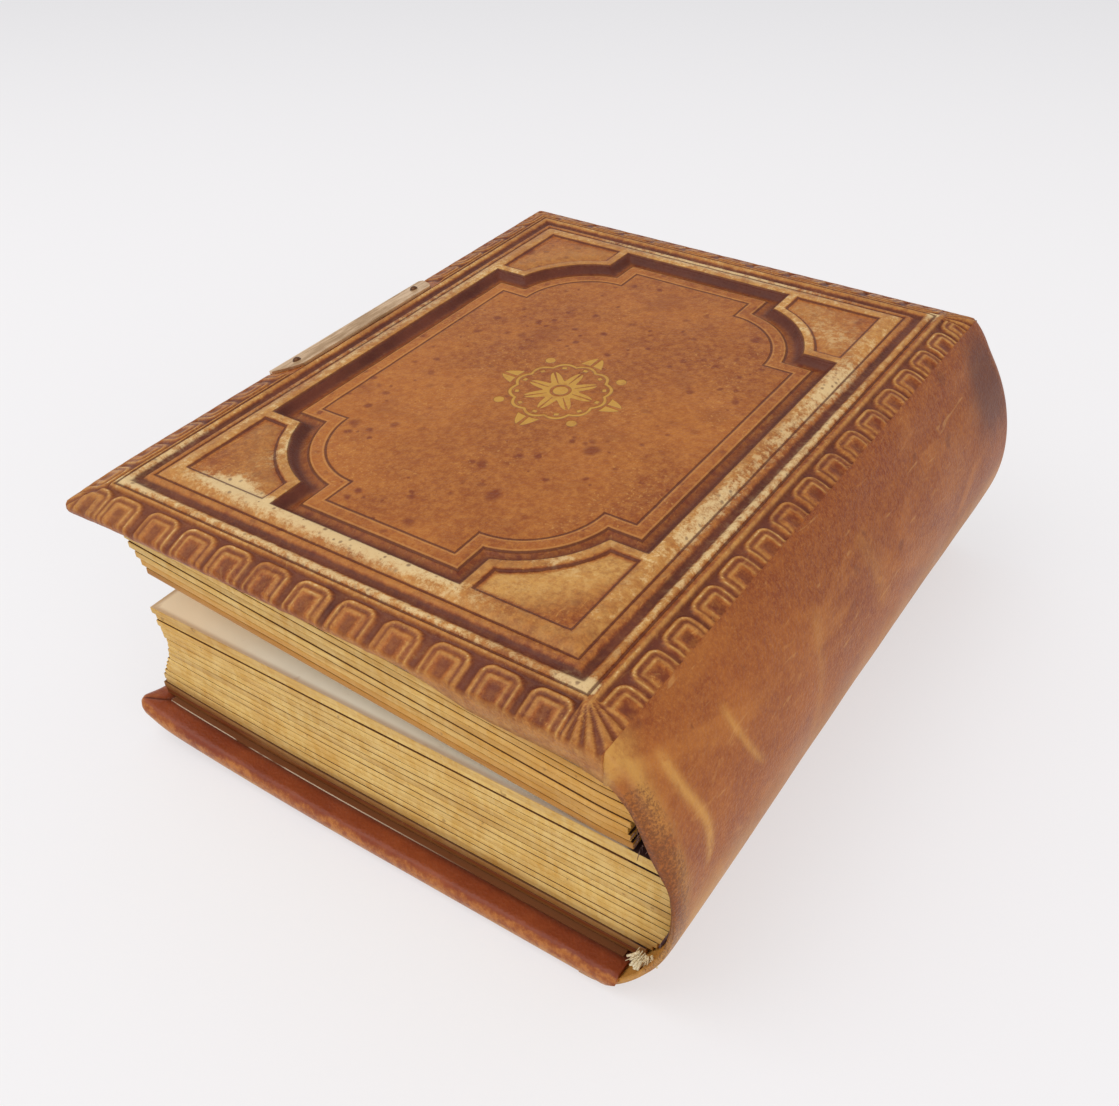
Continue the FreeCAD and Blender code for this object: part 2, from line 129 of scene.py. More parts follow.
class Field:
    """A number that varies over a surface, as it comes out of a shader node."""

    def __init__(self, socket):
        self.socket = socket

    def __add__(self, other):
        return computed("ADD", self, other)

    def __sub__(self, other):
        return computed("SUBTRACT", self, other)

    def __rsub__(self, other):
        return computed("SUBTRACT", other, self)

    def __mul__(self, other):
        return computed("MULTIPLY", self, other)

    __rmul__ = __mul__

    def __truediv__(self, other):
        return computed("DIVIDE", self, other)

    def __pow__(self, power):
        return computed("POWER", self, power)

    def __neg__(self):
        return self * -1.0

    def __abs__(self):
        return computed("ABSOLUTE", self)

    def clamped(self):
        """The same, kept between 0 and 1."""
        self.socket.node.use_clamp = True
        return self


def put(socket, value):
    """Sets a node's socket to a value, or links it to what comes out of another node."""
    value = value.socket if isinstance(value, Field) else value
    if isinstance(value, bpy.types.NodeSocket):
        socket.id_data.links.new(value, socket)
    else:
        socket.default_value = value


def computed(operation, *values):
    """A math node on fields and numbers."""
    tree = next(v.socket.id_data for v in values if isinstance(v, Field))
    made = tree.nodes.new("ShaderNodeMath")
    made.operation = operation
    for socket, value in zip(made.inputs, values):
        put(socket, value)
    return Field(made.outputs[0])


def most(first, *others):
    for other in others:
        first = computed("MAXIMUM", first, other)
    return first


def least(first, *others):
    for other in others:
        first = computed("MINIMUM", first, other)
    return first


class Finish:
    """A node material, with short calls for the nodes it is built from."""

    def __init__(self, name, roughness, metallic=0.0, specular=0.5):
        self.material = bpy.data.materials.new(name)
        self.material.use_nodes = True
        self.tree = self.material.node_tree
        self.shader = self.tree.nodes["Principled BSDF"]
        self.shader.inputs["Roughness"].default_value = roughness
        self.shader.inputs["Metallic"].default_value = metallic
        self.shader.inputs["Specular IOR Level"].default_value = specular
        self.place = self.tree.nodes.new("ShaderNodeTexCoord").outputs["Object"]
        axes = self.node("ShaderNodeSeparateXYZ", Vector=self.place).outputs
        self.x, self.y = Field(axes["X"]), Field(axes["Y"])
        self.colour = None

    def node(self, kind, **inputs):
        made = self.tree.nodes.new(kind)
        for key, value in inputs.items():
            put(made.inputs[key], value)
        return made

    def ramp(self, value, low, high):
        """0 below low, 1 above high, smooth between."""
        made = self.node("ShaderNodeMapRange", **{"Value": value, "From Min": low, "From Max": high})
        made.interpolation_type = "SMOOTHSTEP"
        return Field(made.outputs[0])

    def band(self, value, low, high, soft):
        """1 between low and high, with soft ends."""
        return self.ramp(value, low - soft, low + soft) * (1 - self.ramp(value, high - soft, high + soft))

    def line(self, distance, half_width):
        """1 where the distance is 0, falling off within the half width."""
        return 1 - self.ramp(abs(distance), half_width * 0.35, half_width)

    def noise(self, scale, detail=4.0, roughness=0.55, distortion=0.0, stretch=(1, 1, 1), shift=(0, 0, 0)):
        moved = self.node("ShaderNodeMapping", Vector=self.place, Location=shift, Scale=stretch)
        made = self.node("ShaderNodeTexNoise", Vector=moved.outputs[0], Scale=scale, Detail=detail,
                         Roughness=roughness, Distortion=distortion)
        return Field(made.outputs["Fac"])

    def patches(self, scale, low, high, **noise):
        """Noise as soft patches: 0 where it is below low, 1 where it is above high."""
        return self.ramp(self.noise(scale, **noise), low, high)

    def dots(self, scale, largest, bend=0.35, shift=(0, 0, 0)):
        """Round soft dots of mixed sizes, up to the given radius as a share of their spacing."""
        warp = self.node("ShaderNodeTexNoise", Vector=self.place, Scale=scale * 1.6, Detail=2.0)
        moved = self.node("ShaderNodeMapping", Vector=self.place, Location=shift)
        pushed = self.tree.nodes.new("ShaderNodeVectorMath")
        pushed.operation = "MULTIPLY_ADD"
        pushes = (warp.outputs["Color"], (bend / scale,) * 3, moved.outputs[0])
        for socket, value in zip(pushed.inputs, pushes):
            put(socket, value)
        made = self.node("ShaderNodeTexVoronoi", Vector=pushed.outputs[0], Scale=scale)
        split = self.node("ShaderNodeSeparateColor", Color=made.outputs["Color"])
        size = largest * Field(split.outputs[0]) ** 1.5
        return 1 - self.ramp(Field(made.outputs["Distance"]) / (size + 0.02), 0.35, 1.0)

    def attribute(self, name):
        made = self.tree.nodes.new("ShaderNodeAttribute")
        made.attribute_name = name
        return Field(made.outputs["Fac"])

    def blend(self, amount, under, over):
        made = self.tree.nodes.new("ShaderNodeMix")
        made.data_type = "RGBA"
        for index, value in ((0, amount), (6, under), (7, over)):
            put(made.inputs[index], value)
        return made.outputs[2]

    def bump(self, height, strength, distance, after=None):
        made = self.node("ShaderNodeBump", Height=height, Strength=strength, Distance=distance)
        if after is not None:
            put(made.inputs["Normal"], after)
        return made.outputs[0]

    def coat(self, amount, red, green, blue):
        """Lays one more colour over the finish, by an amount from 0 to 1."""
        self.colour = self.blend(amount, self.colour, tone(red, green, blue))

    def finish(self, normal=None, roughness=None):
        for key, value in (("Base Color", self.colour), ("Normal", normal), ("Roughness", roughness)):
            if value is not None:
                put(self.shader.inputs[key], value)
        return self.material


def panel_field(mat):
    """Depth inside the panel's lobed outline, and the two distances inside the frame line, in the shader."""
    across = abs(mat.x - (fore + hinge_x) / 2)
    along = abs(mat.y - (head + tail) / 2)
    u = width / 2 - border - across
    v = length / 2 - border - along
    cross = most(least(u - panel_side, v - panel_notch), least(u - panel_notch, v - panel_side))
    to_u, to_v = u - lobe_centre, v - lobe_centre
    return most(cross, lobe_radius - (to_u * to_u + to_v * to_v) ** 0.5), u, v


def gilt_ornament(mat):
    """A generic rosette in a scalloped ring with four pointed leaves, as a mask."""
    x = mat.x - (fore + hinge_x) / 2
    y = mat.y - (head + tail) / 2
    radius = (x * x + y * y) ** 0.5
    angle = computed("ARCTAN2", y, x)

    def petals(count):
        """1 in the middle of each petal of a flower with so many, -1 halfway between two."""
        return computed("COSINE", angle * float(count))

    # a daisy: eight petals round a small disc, each petal split by a vein
    reach = 2.0 * MM * petals(8) + 6.1 * MM
    flower = mat.ramp(reach - radius, 0.0, 0.25 * MM)
    disc = mat.line(radius - 2.0 * MM, 0.45 * MM)
    vein = mat.ramp(petals(8), 0.955, 0.99) * mat.ramp(radius, 2.9 * MM, 3.3 * MM)
    flower = flower * (1 - most(disc, vein))
    # a scalloped ring, twelve lobes, with a bead in each
    ring_at = 1.0 * MM * abs(petals(6)) + 9.8 * MM
    ring = mat.line(radius - ring_at, 0.62 * MM)
    bead = mat.ramp(abs(petals(6)), 0.9, 0.97) * mat.line(radius - 9.3 * MM, 0.75 * MM)
    # four lance-shaped leaves along the axes, split by a vein, and four round buds between them
    sharp = most(petals(4), 0.0) ** 2.6
    lance = 4.8 * MM * sharp + 10.6 * MM
    leaf_mask = mat.ramp(lance - radius, 0.0, 0.3 * MM) * mat.ramp(radius, 11.5 * MM, 11.8 * MM)
    leaf_mask = leaf_mask * (1 - mat.ramp(petals(4), 0.99, 0.998))
    off_x, off_y = (abs(t) - 9.3 * MM for t in (x, y))
    bud_mask = 1 - mat.ramp((off_x * off_x + off_y * off_y) ** 0.5, 1.0 * MM, 1.3 * MM)
    return most(flower, bead, ring, leaf_mask, bud_mask)


# --- materials -------------------------------------------------------------------------------------
def leather_colours(mat, flecked=0.5, scratched=0.34):
    """The tan hide: broad cloudy patches, fine mottling, small warm flecks and hair-fine scratches."""
    broad = mat.patches(24, 0.36, 0.66, detail=3)
    cloud = mat.patches(95, 0.36, 0.66, detail=6, roughness=0.7, shift=(0.3, 0.1, 0))
    fleck = mat.patches(750, 0.36, 0.66, roughness=0.8)
    mat.colour = mat.blend(broad, tone(128, 60, 20), tone(156, 84, 30))
    mat.coat(0.5 * cloud, 120, 48, 18)
    mat.coat(fleck * flecked, 196, 122, 50)
    scratch = mat.patches(170, 0.655, 0.7, detail=2, stretch=(2.2, 0.5, 2.2), distortion=2.2)
    mat.coat(scratch * scratched, 206, 146, 76)


def grain(mat, strength=1.0, after=None):
    """Fine pebbled grain and faint wrinkles."""
    cells = mat.node("ShaderNodeTexVoronoi", Vector=mat.place, Scale=1500).outputs["Distance"]
    pebbles = mat.bump(cells, 0.42 * strength, 0.2 * MM, after)
    return mat.bump(mat.noise(650, detail=5, roughness=0.7), 0.45 * strength, 0.35 * MM, pebbles)


def cover_leather():
    """Embossed leather: dark in the grooves, rubbed golden or cream on the ridges, spotted in the panel."""
    mat = Finish("embossed_leather", roughness=0.5, specular=0.22)
    depth, u, v = panel_field(mat)
    inside = least(u, v)
    wobble = 0.5 * MM * mat.noise(420, detail=3) - 0.25 * MM
    depth_worn, inside_worn = depth + wobble, inside + wobble
    broken = mat.patches(520, 0.34, 0.62, detail=6, roughness=0.8)
    patchy = mat.patches(48, 0.38, 0.62)
    leather_colours(mat)
    # the panel's even brown, more golden towards the head and the fore edge, with fine mottling
    panel = mat.ramp(depth, trench * 0.9, trench)
    broad = mat.noise(40, detail=5) - 1.12 * (mat.y + mat.x)
    even = mat.blend(mat.ramp(broad, 0.36, 0.64), tone(136, 66, 22), tone(164, 92, 34))
    even = mat.blend(0.56 * mat.patches(700, 0.36, 0.66, detail=5, roughness=0.85), even,
                     tone(200, 132, 58))
    mat.colour = mat.blend(0.85 * panel, mat.colour, even)
    # reddish spots in two sizes, thicker in patches, larger faint stains and pale scuffs
    crowd = 0.65 * mat.patches(34, 0.34, 0.58, detail=2, shift=(0.5, 0.2, 0)) + 0.35
    small = mat.dots(310, 0.44) * crowd
    large = 0.9 * mat.dots(125, 0.3, shift=(0.4, 0.7, 0))
    faint = 0.4 * mat.patches(75, 0.54, 0.68, roughness=0.6, shift=(0, 3, 0))
    mat.coat(0.74 * most(small, large, faint), 108, 36, 14)
    scuffs = mat.patches(1300, 0.6, 0.68, detail=2) * mat.patches(60, 0.46, 0.62, detail=3, shift=(4, 0, 0))
    mat.coat(0.36 * scuffs, 212, 156, 82)
    # golden rubbing on what stands up, broken up by noise
    band = mat.band(inside_worn, 5.7 * MM, panel_side - 0.1 * MM, 0.3 * MM)
    band = most(band, 1.3 * mat.band(-depth_worn, 0.1 * MM, 2.2 * MM, 0.25 * MM))
    band = band * (1 - mat.ramp(depth, 0.0, 0.25 * MM))
    bead = mat.band(inside_worn, 0.45 * MM, 1.7 * MM, 0.3 * MM)
    second = 0.3 * mat.band(inside_worn, 4.0 * MM, 5.1 * MM, 0.25 * MM)
    raised = most(0.72 * band, 0.85 * bead, second) * (0.5 * patchy + 0.5)
    light = most(mat.attribute("light"), raised) * (0.55 * broken + 0.45)
    mat.coat((0.92 * light).clamped(), 208, 156, 82)
    corner_panel = least(inside - (panel_side + 0.3 * MM), -depth - spandrel_line)
    # painted glints of light on the rubbed ridges, fewer in the corner panels
    painted_glint = mat.ramp(light, 0.42, 0.85) * mat.patches(900, 0.46, 0.62, detail=3, roughness=0.7)
    painted_glint = painted_glint * (1 - 0.85 * mat.ramp(corner_panel, 0.0, 0.5 * MM))
    mat.coat(0.62 * painted_glint, 232, 200, 146)
    # cream where the skin is rubbed through, with dark specks
    cream = mat.attribute("cream") * most(raised, mat.attribute("bare")) + (0.44 * broken - 0.25)
    cream = mat.ramp(cream, 0.14, 0.66)
    mat.coat(0.85 * cream, 220, 190, 138)
    specks = mat.dots(800, 0.5) * cream
    mat.coat(0.7 * specks, 104, 66, 44)
    # dark stain in the grooves: round the beads, in the trench and between the arches' ribs
    stain = mat.blend(mat.patches(60, 0.35, 0.65), tone(76, 30, 18), tone(98, 46, 30))
    groove = mat.band(inside_worn, 1.95 * MM, 3.75 * MM, 0.3 * MM) * (1 - 0.18 * broken)
    sunken = mat.band(depth_worn, 0.1 * MM, trench - 0.1 * MM, 0.2 * MM)
    sunken = sunken * (1 - 0.7 * mat.ramp(depth_worn, 1.1 * MM, 3.0 * MM))
    dark = most(mat.attribute("dark"), groove, sunken)
    mat.colour = mat.blend((0.94 * dark).clamped(), mat.colour, stain)
    # fine tooled lines
    lines = most(mat.line(depth - tooled_line, 0.34 * MM), mat.line(corner_panel, 0.4 * MM),
                 mat.line(inside - 5.4 * MM, 0.34 * MM))
    edges = most(mat.line(depth, 0.38 * MM), mat.line(depth - trench, 0.36 * MM),
                 mat.line(inside, 0.36 * MM))
    lines = most(lines, edges)
    mat.coat(0.8 * lines, 84, 34, 18)
    # painted highlight lines: beside the tooled line, and just inside the foot of the trench
    glint = mat.line(depth - (tooled_line - 0.5 * MM), 0.3 * MM)
    glint = most(glint, mat.line(depth - (trench + 0.45 * MM), 0.3 * MM))
    mat.coat(0.35 * glint, 206, 146, 80)
    # gilt ornament, partly rubbed, each motif with a dark pressed outline
    ornament = gilt_ornament(mat)
    rubbed = 0.35 * mat.patches(420, 0.3, 0.55, roughness=0.7) + 0.52
    mat.coat(ornament * rubbed, 196, 148, 60)
    rim = ornament * (1 - ornament)
    mat.coat((2.6 * rim).clamped(), 126, 70, 26)
    stamped = -lines - 0.3 * ornament
    normal = mat.bump(stamped, 0.6, 0.3 * MM)
    rough = 0.25 * mat.noise(130) + 0.3
    return mat.finish(grain(mat, 0.8, normal), rough)


def spine_leather():
    """Smooth tan leather with rubbed streaks, a speckled band by the head, a dark stain by the tail and a
    painted reflection of the floor along its lower half.
    """
    mat = Finish("smooth_leather", roughness=0.45, specular=0.25)
    leather_colours(mat, flecked=0.26, scratched=0.14)
    streak = mat.patches(38, 0.46, 0.68, detail=5, roughness=0.6, distortion=1.2, stretch=(1, 0.55, 1.6))
    mat.coat(0.55 * streak, 182, 112, 46)
    crackle = mat.patches(1900, 0.5, 0.64, detail=5, roughness=0.85)
    mat.coat(0.34 * crackle, 194, 128, 60)
    hair = mat.patches(420, 0.68, 0.73, detail=2, stretch=(1, 0.16, 1), distortion=1.2)
    mat.coat(0.26 * hair, 212, 160, 94)
    rubbed = mat.attribute("rubbed") * mat.patches(300, 0.2, 0.5, detail=5, roughness=0.7)
    mat.coat(0.85 * rubbed, 210, 154, 76)
    bruise = 0.45 * mat.dots(110, 0.26, bend=0.8)
    mat.coat(bruise, 104, 48, 24)
    # lighter by the head and the hinges, and along the lower half a painted reflection of the floor
    light = mat.attribute("light") * mat.patches(170, 0.2, 0.52, detail=5, roughness=0.7)
    mat.coat(0.85 * light, 202, 148, 72)
    speckle = mat.noise(1900, detail=5, roughness=0.8) + 0.13 * mat.attribute("speckled")
    speckle = mat.ramp(speckle, 0.50, 0.70)
    band = mat.ramp(mat.attribute("speckled"), 0.0, 0.4) * speckle
    mat.coat(0.75 * band, 96, 50, 24)
    mat.coat(0.8 * mat.attribute("dark"), 78, 40, 36)
    rough = 0.25 * mat.noise(90) + 0.28
    return mat.finish(grain(mat), rough)


def board_leather():
    """Glossy red-brown leather turned in over the back board, lighter where it is rubbed, with painted shade
    on the turn-in by the leaves.
    """
    mat = Finish("dark_leather", roughness=0.35, specular=0.3)
    cloud = mat.patches(60, 0.35, 0.68, detail=5, roughness=0.6)
    mat.colour = mat.blend(cloud, tone(128, 56, 28), tone(150, 74, 38))
    ragged = 1.5 * mat.noise(110, detail=7, roughness=0.8) - 0.75
    light = mat.attribute("light") + ragged
    worn = mat.blend(mat.patches(420, 0.38, 0.62, detail=5, roughness=0.75), tone(150, 78, 32),
                     tone(192, 122, 58))
    mat.colour = mat.blend(0.8 * mat.ramp(light, 0.36, 0.62), mat.colour, worn)
    mat.coat(0.7 * mat.ramp(light, 0.85, 1.15), 206, 150, 84)
    # painted shade on the turn-in by the leaves, and dark lines along the mitres
    mat.coat(0.9 * mat.attribute("dark"), 62, 26, 14)
    rough = 0.25 * mat.noise(110) + 0.24
    return mat.finish(grain(mat, 0.7), rough)


def gilt_edge():
    """The leaves' rubbed gilt edges: pale card grain, each leaf its own colour, painted shade on the lowest
    leaves.
    """
    mat = Finish("gilt_leaf_edges", roughness=0.5, specular=0.25)
    tint_and_shade = mat.attribute("tint_and_shade")
    streak = mat.noise(900, detail=3, roughness=0.7, stretch=(0.12, 0.12, 1.6))
    brushed = mat.patches(520, 0.35, 0.65, roughness=0.7, stretch=(1, 1, 0.35))
    mat.colour = mat.blend(mat.ramp(streak, 0.3, 0.7), tone(206, 158, 74), tone(228, 188, 106))
    mat.coat(0.45 * brushed, 238, 208, 140)
    mat.coat(0.45 * mat.patches(70, 0.42, 0.7, detail=5), 198, 142, 52)
    mat.coat((0.8 * mat.attribute("amber")).clamped(), 214, 142, 36)
    # painted shade on the edges of the lowest leaves, and each leaf's own colour on the rest
    tint_and_shade = tint_and_shade + (0.22 * mat.patches(60, 0.45, 0.7, detail=3, stretch=(0.5, 0.5, 9)) - 0.04)
    mat.coat((0.95 * tint_and_shade).clamped(), 112, 54, 18)
    nick = mat.patches(480, 0.68, 0.74, detail=2)
    mat.coat(0.5 * nick, 134, 92, 50)
    return mat.finish(mat.bump(streak, 0.3, 0.15 * MM))


def page_face():
    """Cream card of the leaves' faces, turned brown along its edges, with painted shade where the faces lie
    between leaves and where they run in to the spine.
    """
    mat = Finish("leaf_card", roughness=0.8, specular=0.1)
    from_edge = mat.attribute("from_edge")
    cloud = mat.patches(50, 0.3, 0.7)
    mat.colour = mat.blend(cloud, tone(238, 224, 200), tone(244, 234, 214))
    aged = 1 - mat.ramp(mat.x, fore + 10 * MM, fore + 50 * MM)
    mat.coat(0.7 * aged, 244, 214, 170)
    brown = 1 - mat.ramp(from_edge, 0.3 * MM, 1.6 * MM)
    mat.coat(0.6 * brown, 168, 122, 74)
    # painted shade along the edges of the faces that lie between leaves; the open faces that look up are
    # spared
    facing = mat.node("ShaderNodeNewGeometry").outputs["Normal"]
    upwards = mat.node("ShaderNodeSeparateXYZ", Vector=facing).outputs["Z"]
    opened = mat.attribute("opened") * mat.ramp(upwards, 0.0, 0.5)
    gap_shade = (1 - opened) * (1 - mat.ramp(from_edge, 1.0 * MM, 2.5 * MM))
    mat.coat(0.95 * gap_shade, 92, 52, 22)
    fox = mat.patches(230, 0.66, 0.74, detail=3)
    mat.coat(0.25 * fox, 176, 130, 90)
    # painted shade where the leaves run in to the spine, as dark as the hollow there
    spine_shade = mat.ramp(mat.x, fore + 125.5 * MM, fore + 127.5 * MM)
    mat.coat(spine_shade, 60, 38, 34)
    return mat.finish(mat.bump(mat.noise(1400, detail=3), 0.12, 0.1 * MM))


def endpaper_finish():
    """Plain coated endpaper: a pale cut edge, then a band of painted shade from the leaves over it, lightly
    foxed.
    """
    mat = Finish("endpaper_sheet", roughness=0.6, specular=0.15)
    cloud = mat.patches(35, 0.3, 0.7, detail=5)
    mat.colour = mat.blend(cloud, tone(196, 164, 124), tone(212, 184, 146))
    fox = mat.patches(210, 0.62, 0.72, detail=3)
    mat.coat(0.35 * fox, 150, 100, 60)
    across = mat.x - endpaper_lo.x
    along = endpaper_half - abs(mat.y)
    inset = least(across, along)
    # painted shade: darker along the endpaper's edges, where the leaves overhang it
    leaf_shade = 1 - mat.ramp(inset, 3 * MM, 9 * MM)
    mat.coat(0.95 * leaf_shade, 112, 58, 22)
    pale = 1 - mat.ramp(inset, 0.0, 0.08 * MM)
    pale = pale * mat.patches(90, 0.36, 0.46, detail=3)
    pale = pale * (1 - mat.ramp(across, 50 * MM, 90 * MM))
    mat.coat(pale, 222, 198, 170)
    return mat.finish(mat.bump(mat.noise(1200, detail=3), 0.12, 0.1 * MM))


def millboard():
    """Grey-brown millboard, under the leather."""
    mat = Finish("millboard_core", roughness=0.85, specular=0.2)
    fibre = mat.patches(500, 0.3, 0.7, detail=5, stretch=(1, 1, 4))
    mat.colour = mat.blend(fibre, tone(150, 130, 104), tone(172, 152, 124))
    return mat.finish(mat.bump(mat.noise(900, detail=3), 0.2, 0.1 * MM))


def lining_finish():
    """Old glued cloth on the inside of the spine, dark purple-brown with pale torn threads."""
    mat = Finish("spine_lining_cloth", roughness=0.85, specular=0.2)
    dirt = mat.patches(700, 0.42, 0.66, detail=5, roughness=0.7)
    mat.colour = mat.blend(dirt, tone(74, 48, 48), tone(150, 118, 108))
    weave = mat.node("ShaderNodeTexWave", Vector=mat.place, Scale=900.0, Distortion=1.5).outputs["Fac"]
    return mat.finish(mat.bump(weave, 0.35, 0.2 * MM))


def thread_finish():
    """Frayed undyed headband thread."""
    mat = Finish("frayed_thread", roughness=0.8, specular=0.2)
    fibre = mat.patches(2600, 0.3, 0.7, detail=3)
    mat.colour = mat.blend(fibre, tone(206, 184, 142), tone(240, 226, 192))
    return mat.finish(mat.bump(fibre, 0.3, 0.1 * MM))


def brass(name, dark=0.0):
    """Dull worn brass, brown in its hollows."""
    mat = Finish(name, roughness=0.42, metallic=0.6)
    brushed = mat.noise(1500, detail=3, stretch=(1, 0.05, 1))
    tarnish = mat.patches(200, 0.4, 0.62, detail=6, roughness=0.7, stretch=(1, 0.35, 1))
    mat.colour = mat.blend(mat.ramp(brushed, 0.3, 0.7), tone(204, 164, 116), tone(232, 194, 148))
    mat.coat((0.45 * tarnish + dark).clamped(), 92, 56, 26)
    rough = 0.25 * tarnish + 0.34
    return mat.finish(mat.bump(brushed, 0.15, 0.05 * MM), rough)


# --- mesh helpers ----------------------------------------------------------------------------------
def grid(columns, rows):
    """A flat grid of quads whose vertices lie on whole numbers, 0 to columns and 0 to rows."""
    mesh = bmesh.new()
    bmesh.ops.create_grid(mesh, x_segments=columns, y_segments=rows, size=0.5)
    for vert in mesh.verts:
        vert.co = ((vert.co.x + 0.5) * columns, (vert.co.y + 0.5) * rows, 0)
    return mesh


def piece(name, mesh, *materials, smooth=True):
    """Turns a bmesh into a named object."""
    data = bpy.data.meshes.new(name)
    mesh.to_mesh(data)
    mesh.free()
    made = bpy.data.objects.new(name, data)
    bpy.context.scene.collection.objects.link(made)
    for material in materials:
        data.materials.append(material)
    data.polygons.foreach_set("use_smooth", [smooth] * len(data.polygons))
    return made


def points_of(made):
    """The object's vertices as an array of rows."""
    flat = np.empty(len(made.data.vertices) * 3)
    made.data.vertices.foreach_get("co", flat)
    return flat.reshape(-1, 3)


def put_points(made, points):
    made.data.vertices.foreach_set("co", np.ascontiguousarray(points).ravel())
    made.data.update()


def put_attribute(made, name, values):
    layer = made.data.attributes.new(name, "FLOAT", "POINT")
    layer.data.foreach_set("value", np.asarray(values, dtype=float))


def smooth_step(t, low, high):
    t = np.clip((t - low) / (high - low), 0, 1)
    return t * t * (3 - 2 * t)


def hill(t, low, high):
    """A smooth rise and fall between two places, 1 in the middle."""
    inside = (t > low) & (t < high)
    return np.where(inside, 0.5 - 0.5 * np.cos(2 * np.pi * (t - low) / (high - low)), 0)


def waves(x, y, scale, seed):
    """Gentle seeded unevenness, about -1 to 1: a few crossing sine waves."""
    source = np.random.default_rng(seed)
    total = 0
    count = 9
    for _ in range(count):
        angle = source.uniform(0, 2 * np.pi)
        phase = source.uniform(0, 2 * np.pi)
        stretch = source.uniform(0.6, 1.7)
        total = total + np.sin((x * np.cos(angle) + y * np.sin(angle)) * stretch / scale + phase)
    return total / (count / 2)


def soften(field):
    """Each value evened out a little with its neighbours."""
    field = np.pad(field, 1, mode="edge")
    field = (field[:-2] + 2 * field[1:-1] + field[2:]) / 4
    return (field[:, :-2] + 2 * field[:, 1:-1] + field[:, 2:]) / 4


# --- embossing of the front cover ------------------------------------------------------------------
def border_and_mouldings(e, bent=0.0):
    """Height over the frame line at a distance inside it, along the straight sides."""
    t = np.clip(-e / border, 0, 1.2)
    rolled = 0.125 * np.clip(-e - border + 2 * MM, 0, None) ** 2 / MM
    slope = -(border_drop - 0.5 * MM * bent) * t ** 1.35 - bent * rolled
    rail = 0.28 * hill(e, -(1.2 + 0.7 * bent) * MM, (0.2 - 0.7 * bent) * MM)
    bead = 0.62 * hill(e, 0.1 * MM, 2.1 * MM)
    groove = -0.34 * hill(e, 1.7 * MM, 4.1 * MM)
    second = 0.40 * hill(e, 3.6 * MM, 5.4 * MM)
    step = 0.45 * smooth_step(e, 3.4 * MM, 4.6 * MM)
    band = 0.55 * smooth_step(e, 5.3 * MM, 7.0 * MM) + 0.40 * hill(e, 5.6 * MM, 11.4 * MM)
    cut = -0.28 * hill(e, 4.95 * MM, 5.85 * MM) - 0.30 * hill(e, -0.4 * MM, 0.4 * MM)
    return slope + MM * (rail + bead + groove + second + step + band + cut)


def arch_cuts(along, outwards, places, top):
    """Cuts that leave nested round-headed arches, how dark they are and how light what stands between."""
    nearest = np.round(np.interp(along, places, np.arange(len(places)))).astype(int)
    across = np.abs(along - places[nearest])
    round_off = 2.1 * MM
    dx = across - (arch_half_width - round_off)
    dy = (top + round_off) - outwards
    corner = (dx > 0) & (dy > 0)
    out = np.where(corner, np.hypot(dx, dy), np.maximum(dx, dy)) - round_off
    started = smooth_step(outwards, top - 1.0 * MM, top - 0.65 * MM)
    between = smooth_step(out, -0.02 * MM, 0.34 * MM) * started
    groove = hill(out, -1.6 * MM, -0.55 * MM) ** 0.7
    slot = smooth_step(across, 1.35 * MM, 0.9 * MM) * smooth_step(outwards, top + 2.2 * MM, top + 2.8 * MM)
    deep = np.maximum(between, np.maximum(0.5 * groove, 0.5 * slot))
    dark = np.maximum(between, np.maximum(0.8 * groove, 0.62 * slot))
    ridge = hill(out, -0.85 * MM, 0.1 * MM)
    inner = hill(out, -2.45 * MM, -1.35 * MM) * (1 - slot)
    return deep, dark, np.maximum(ridge, 0.72 * inner) * started


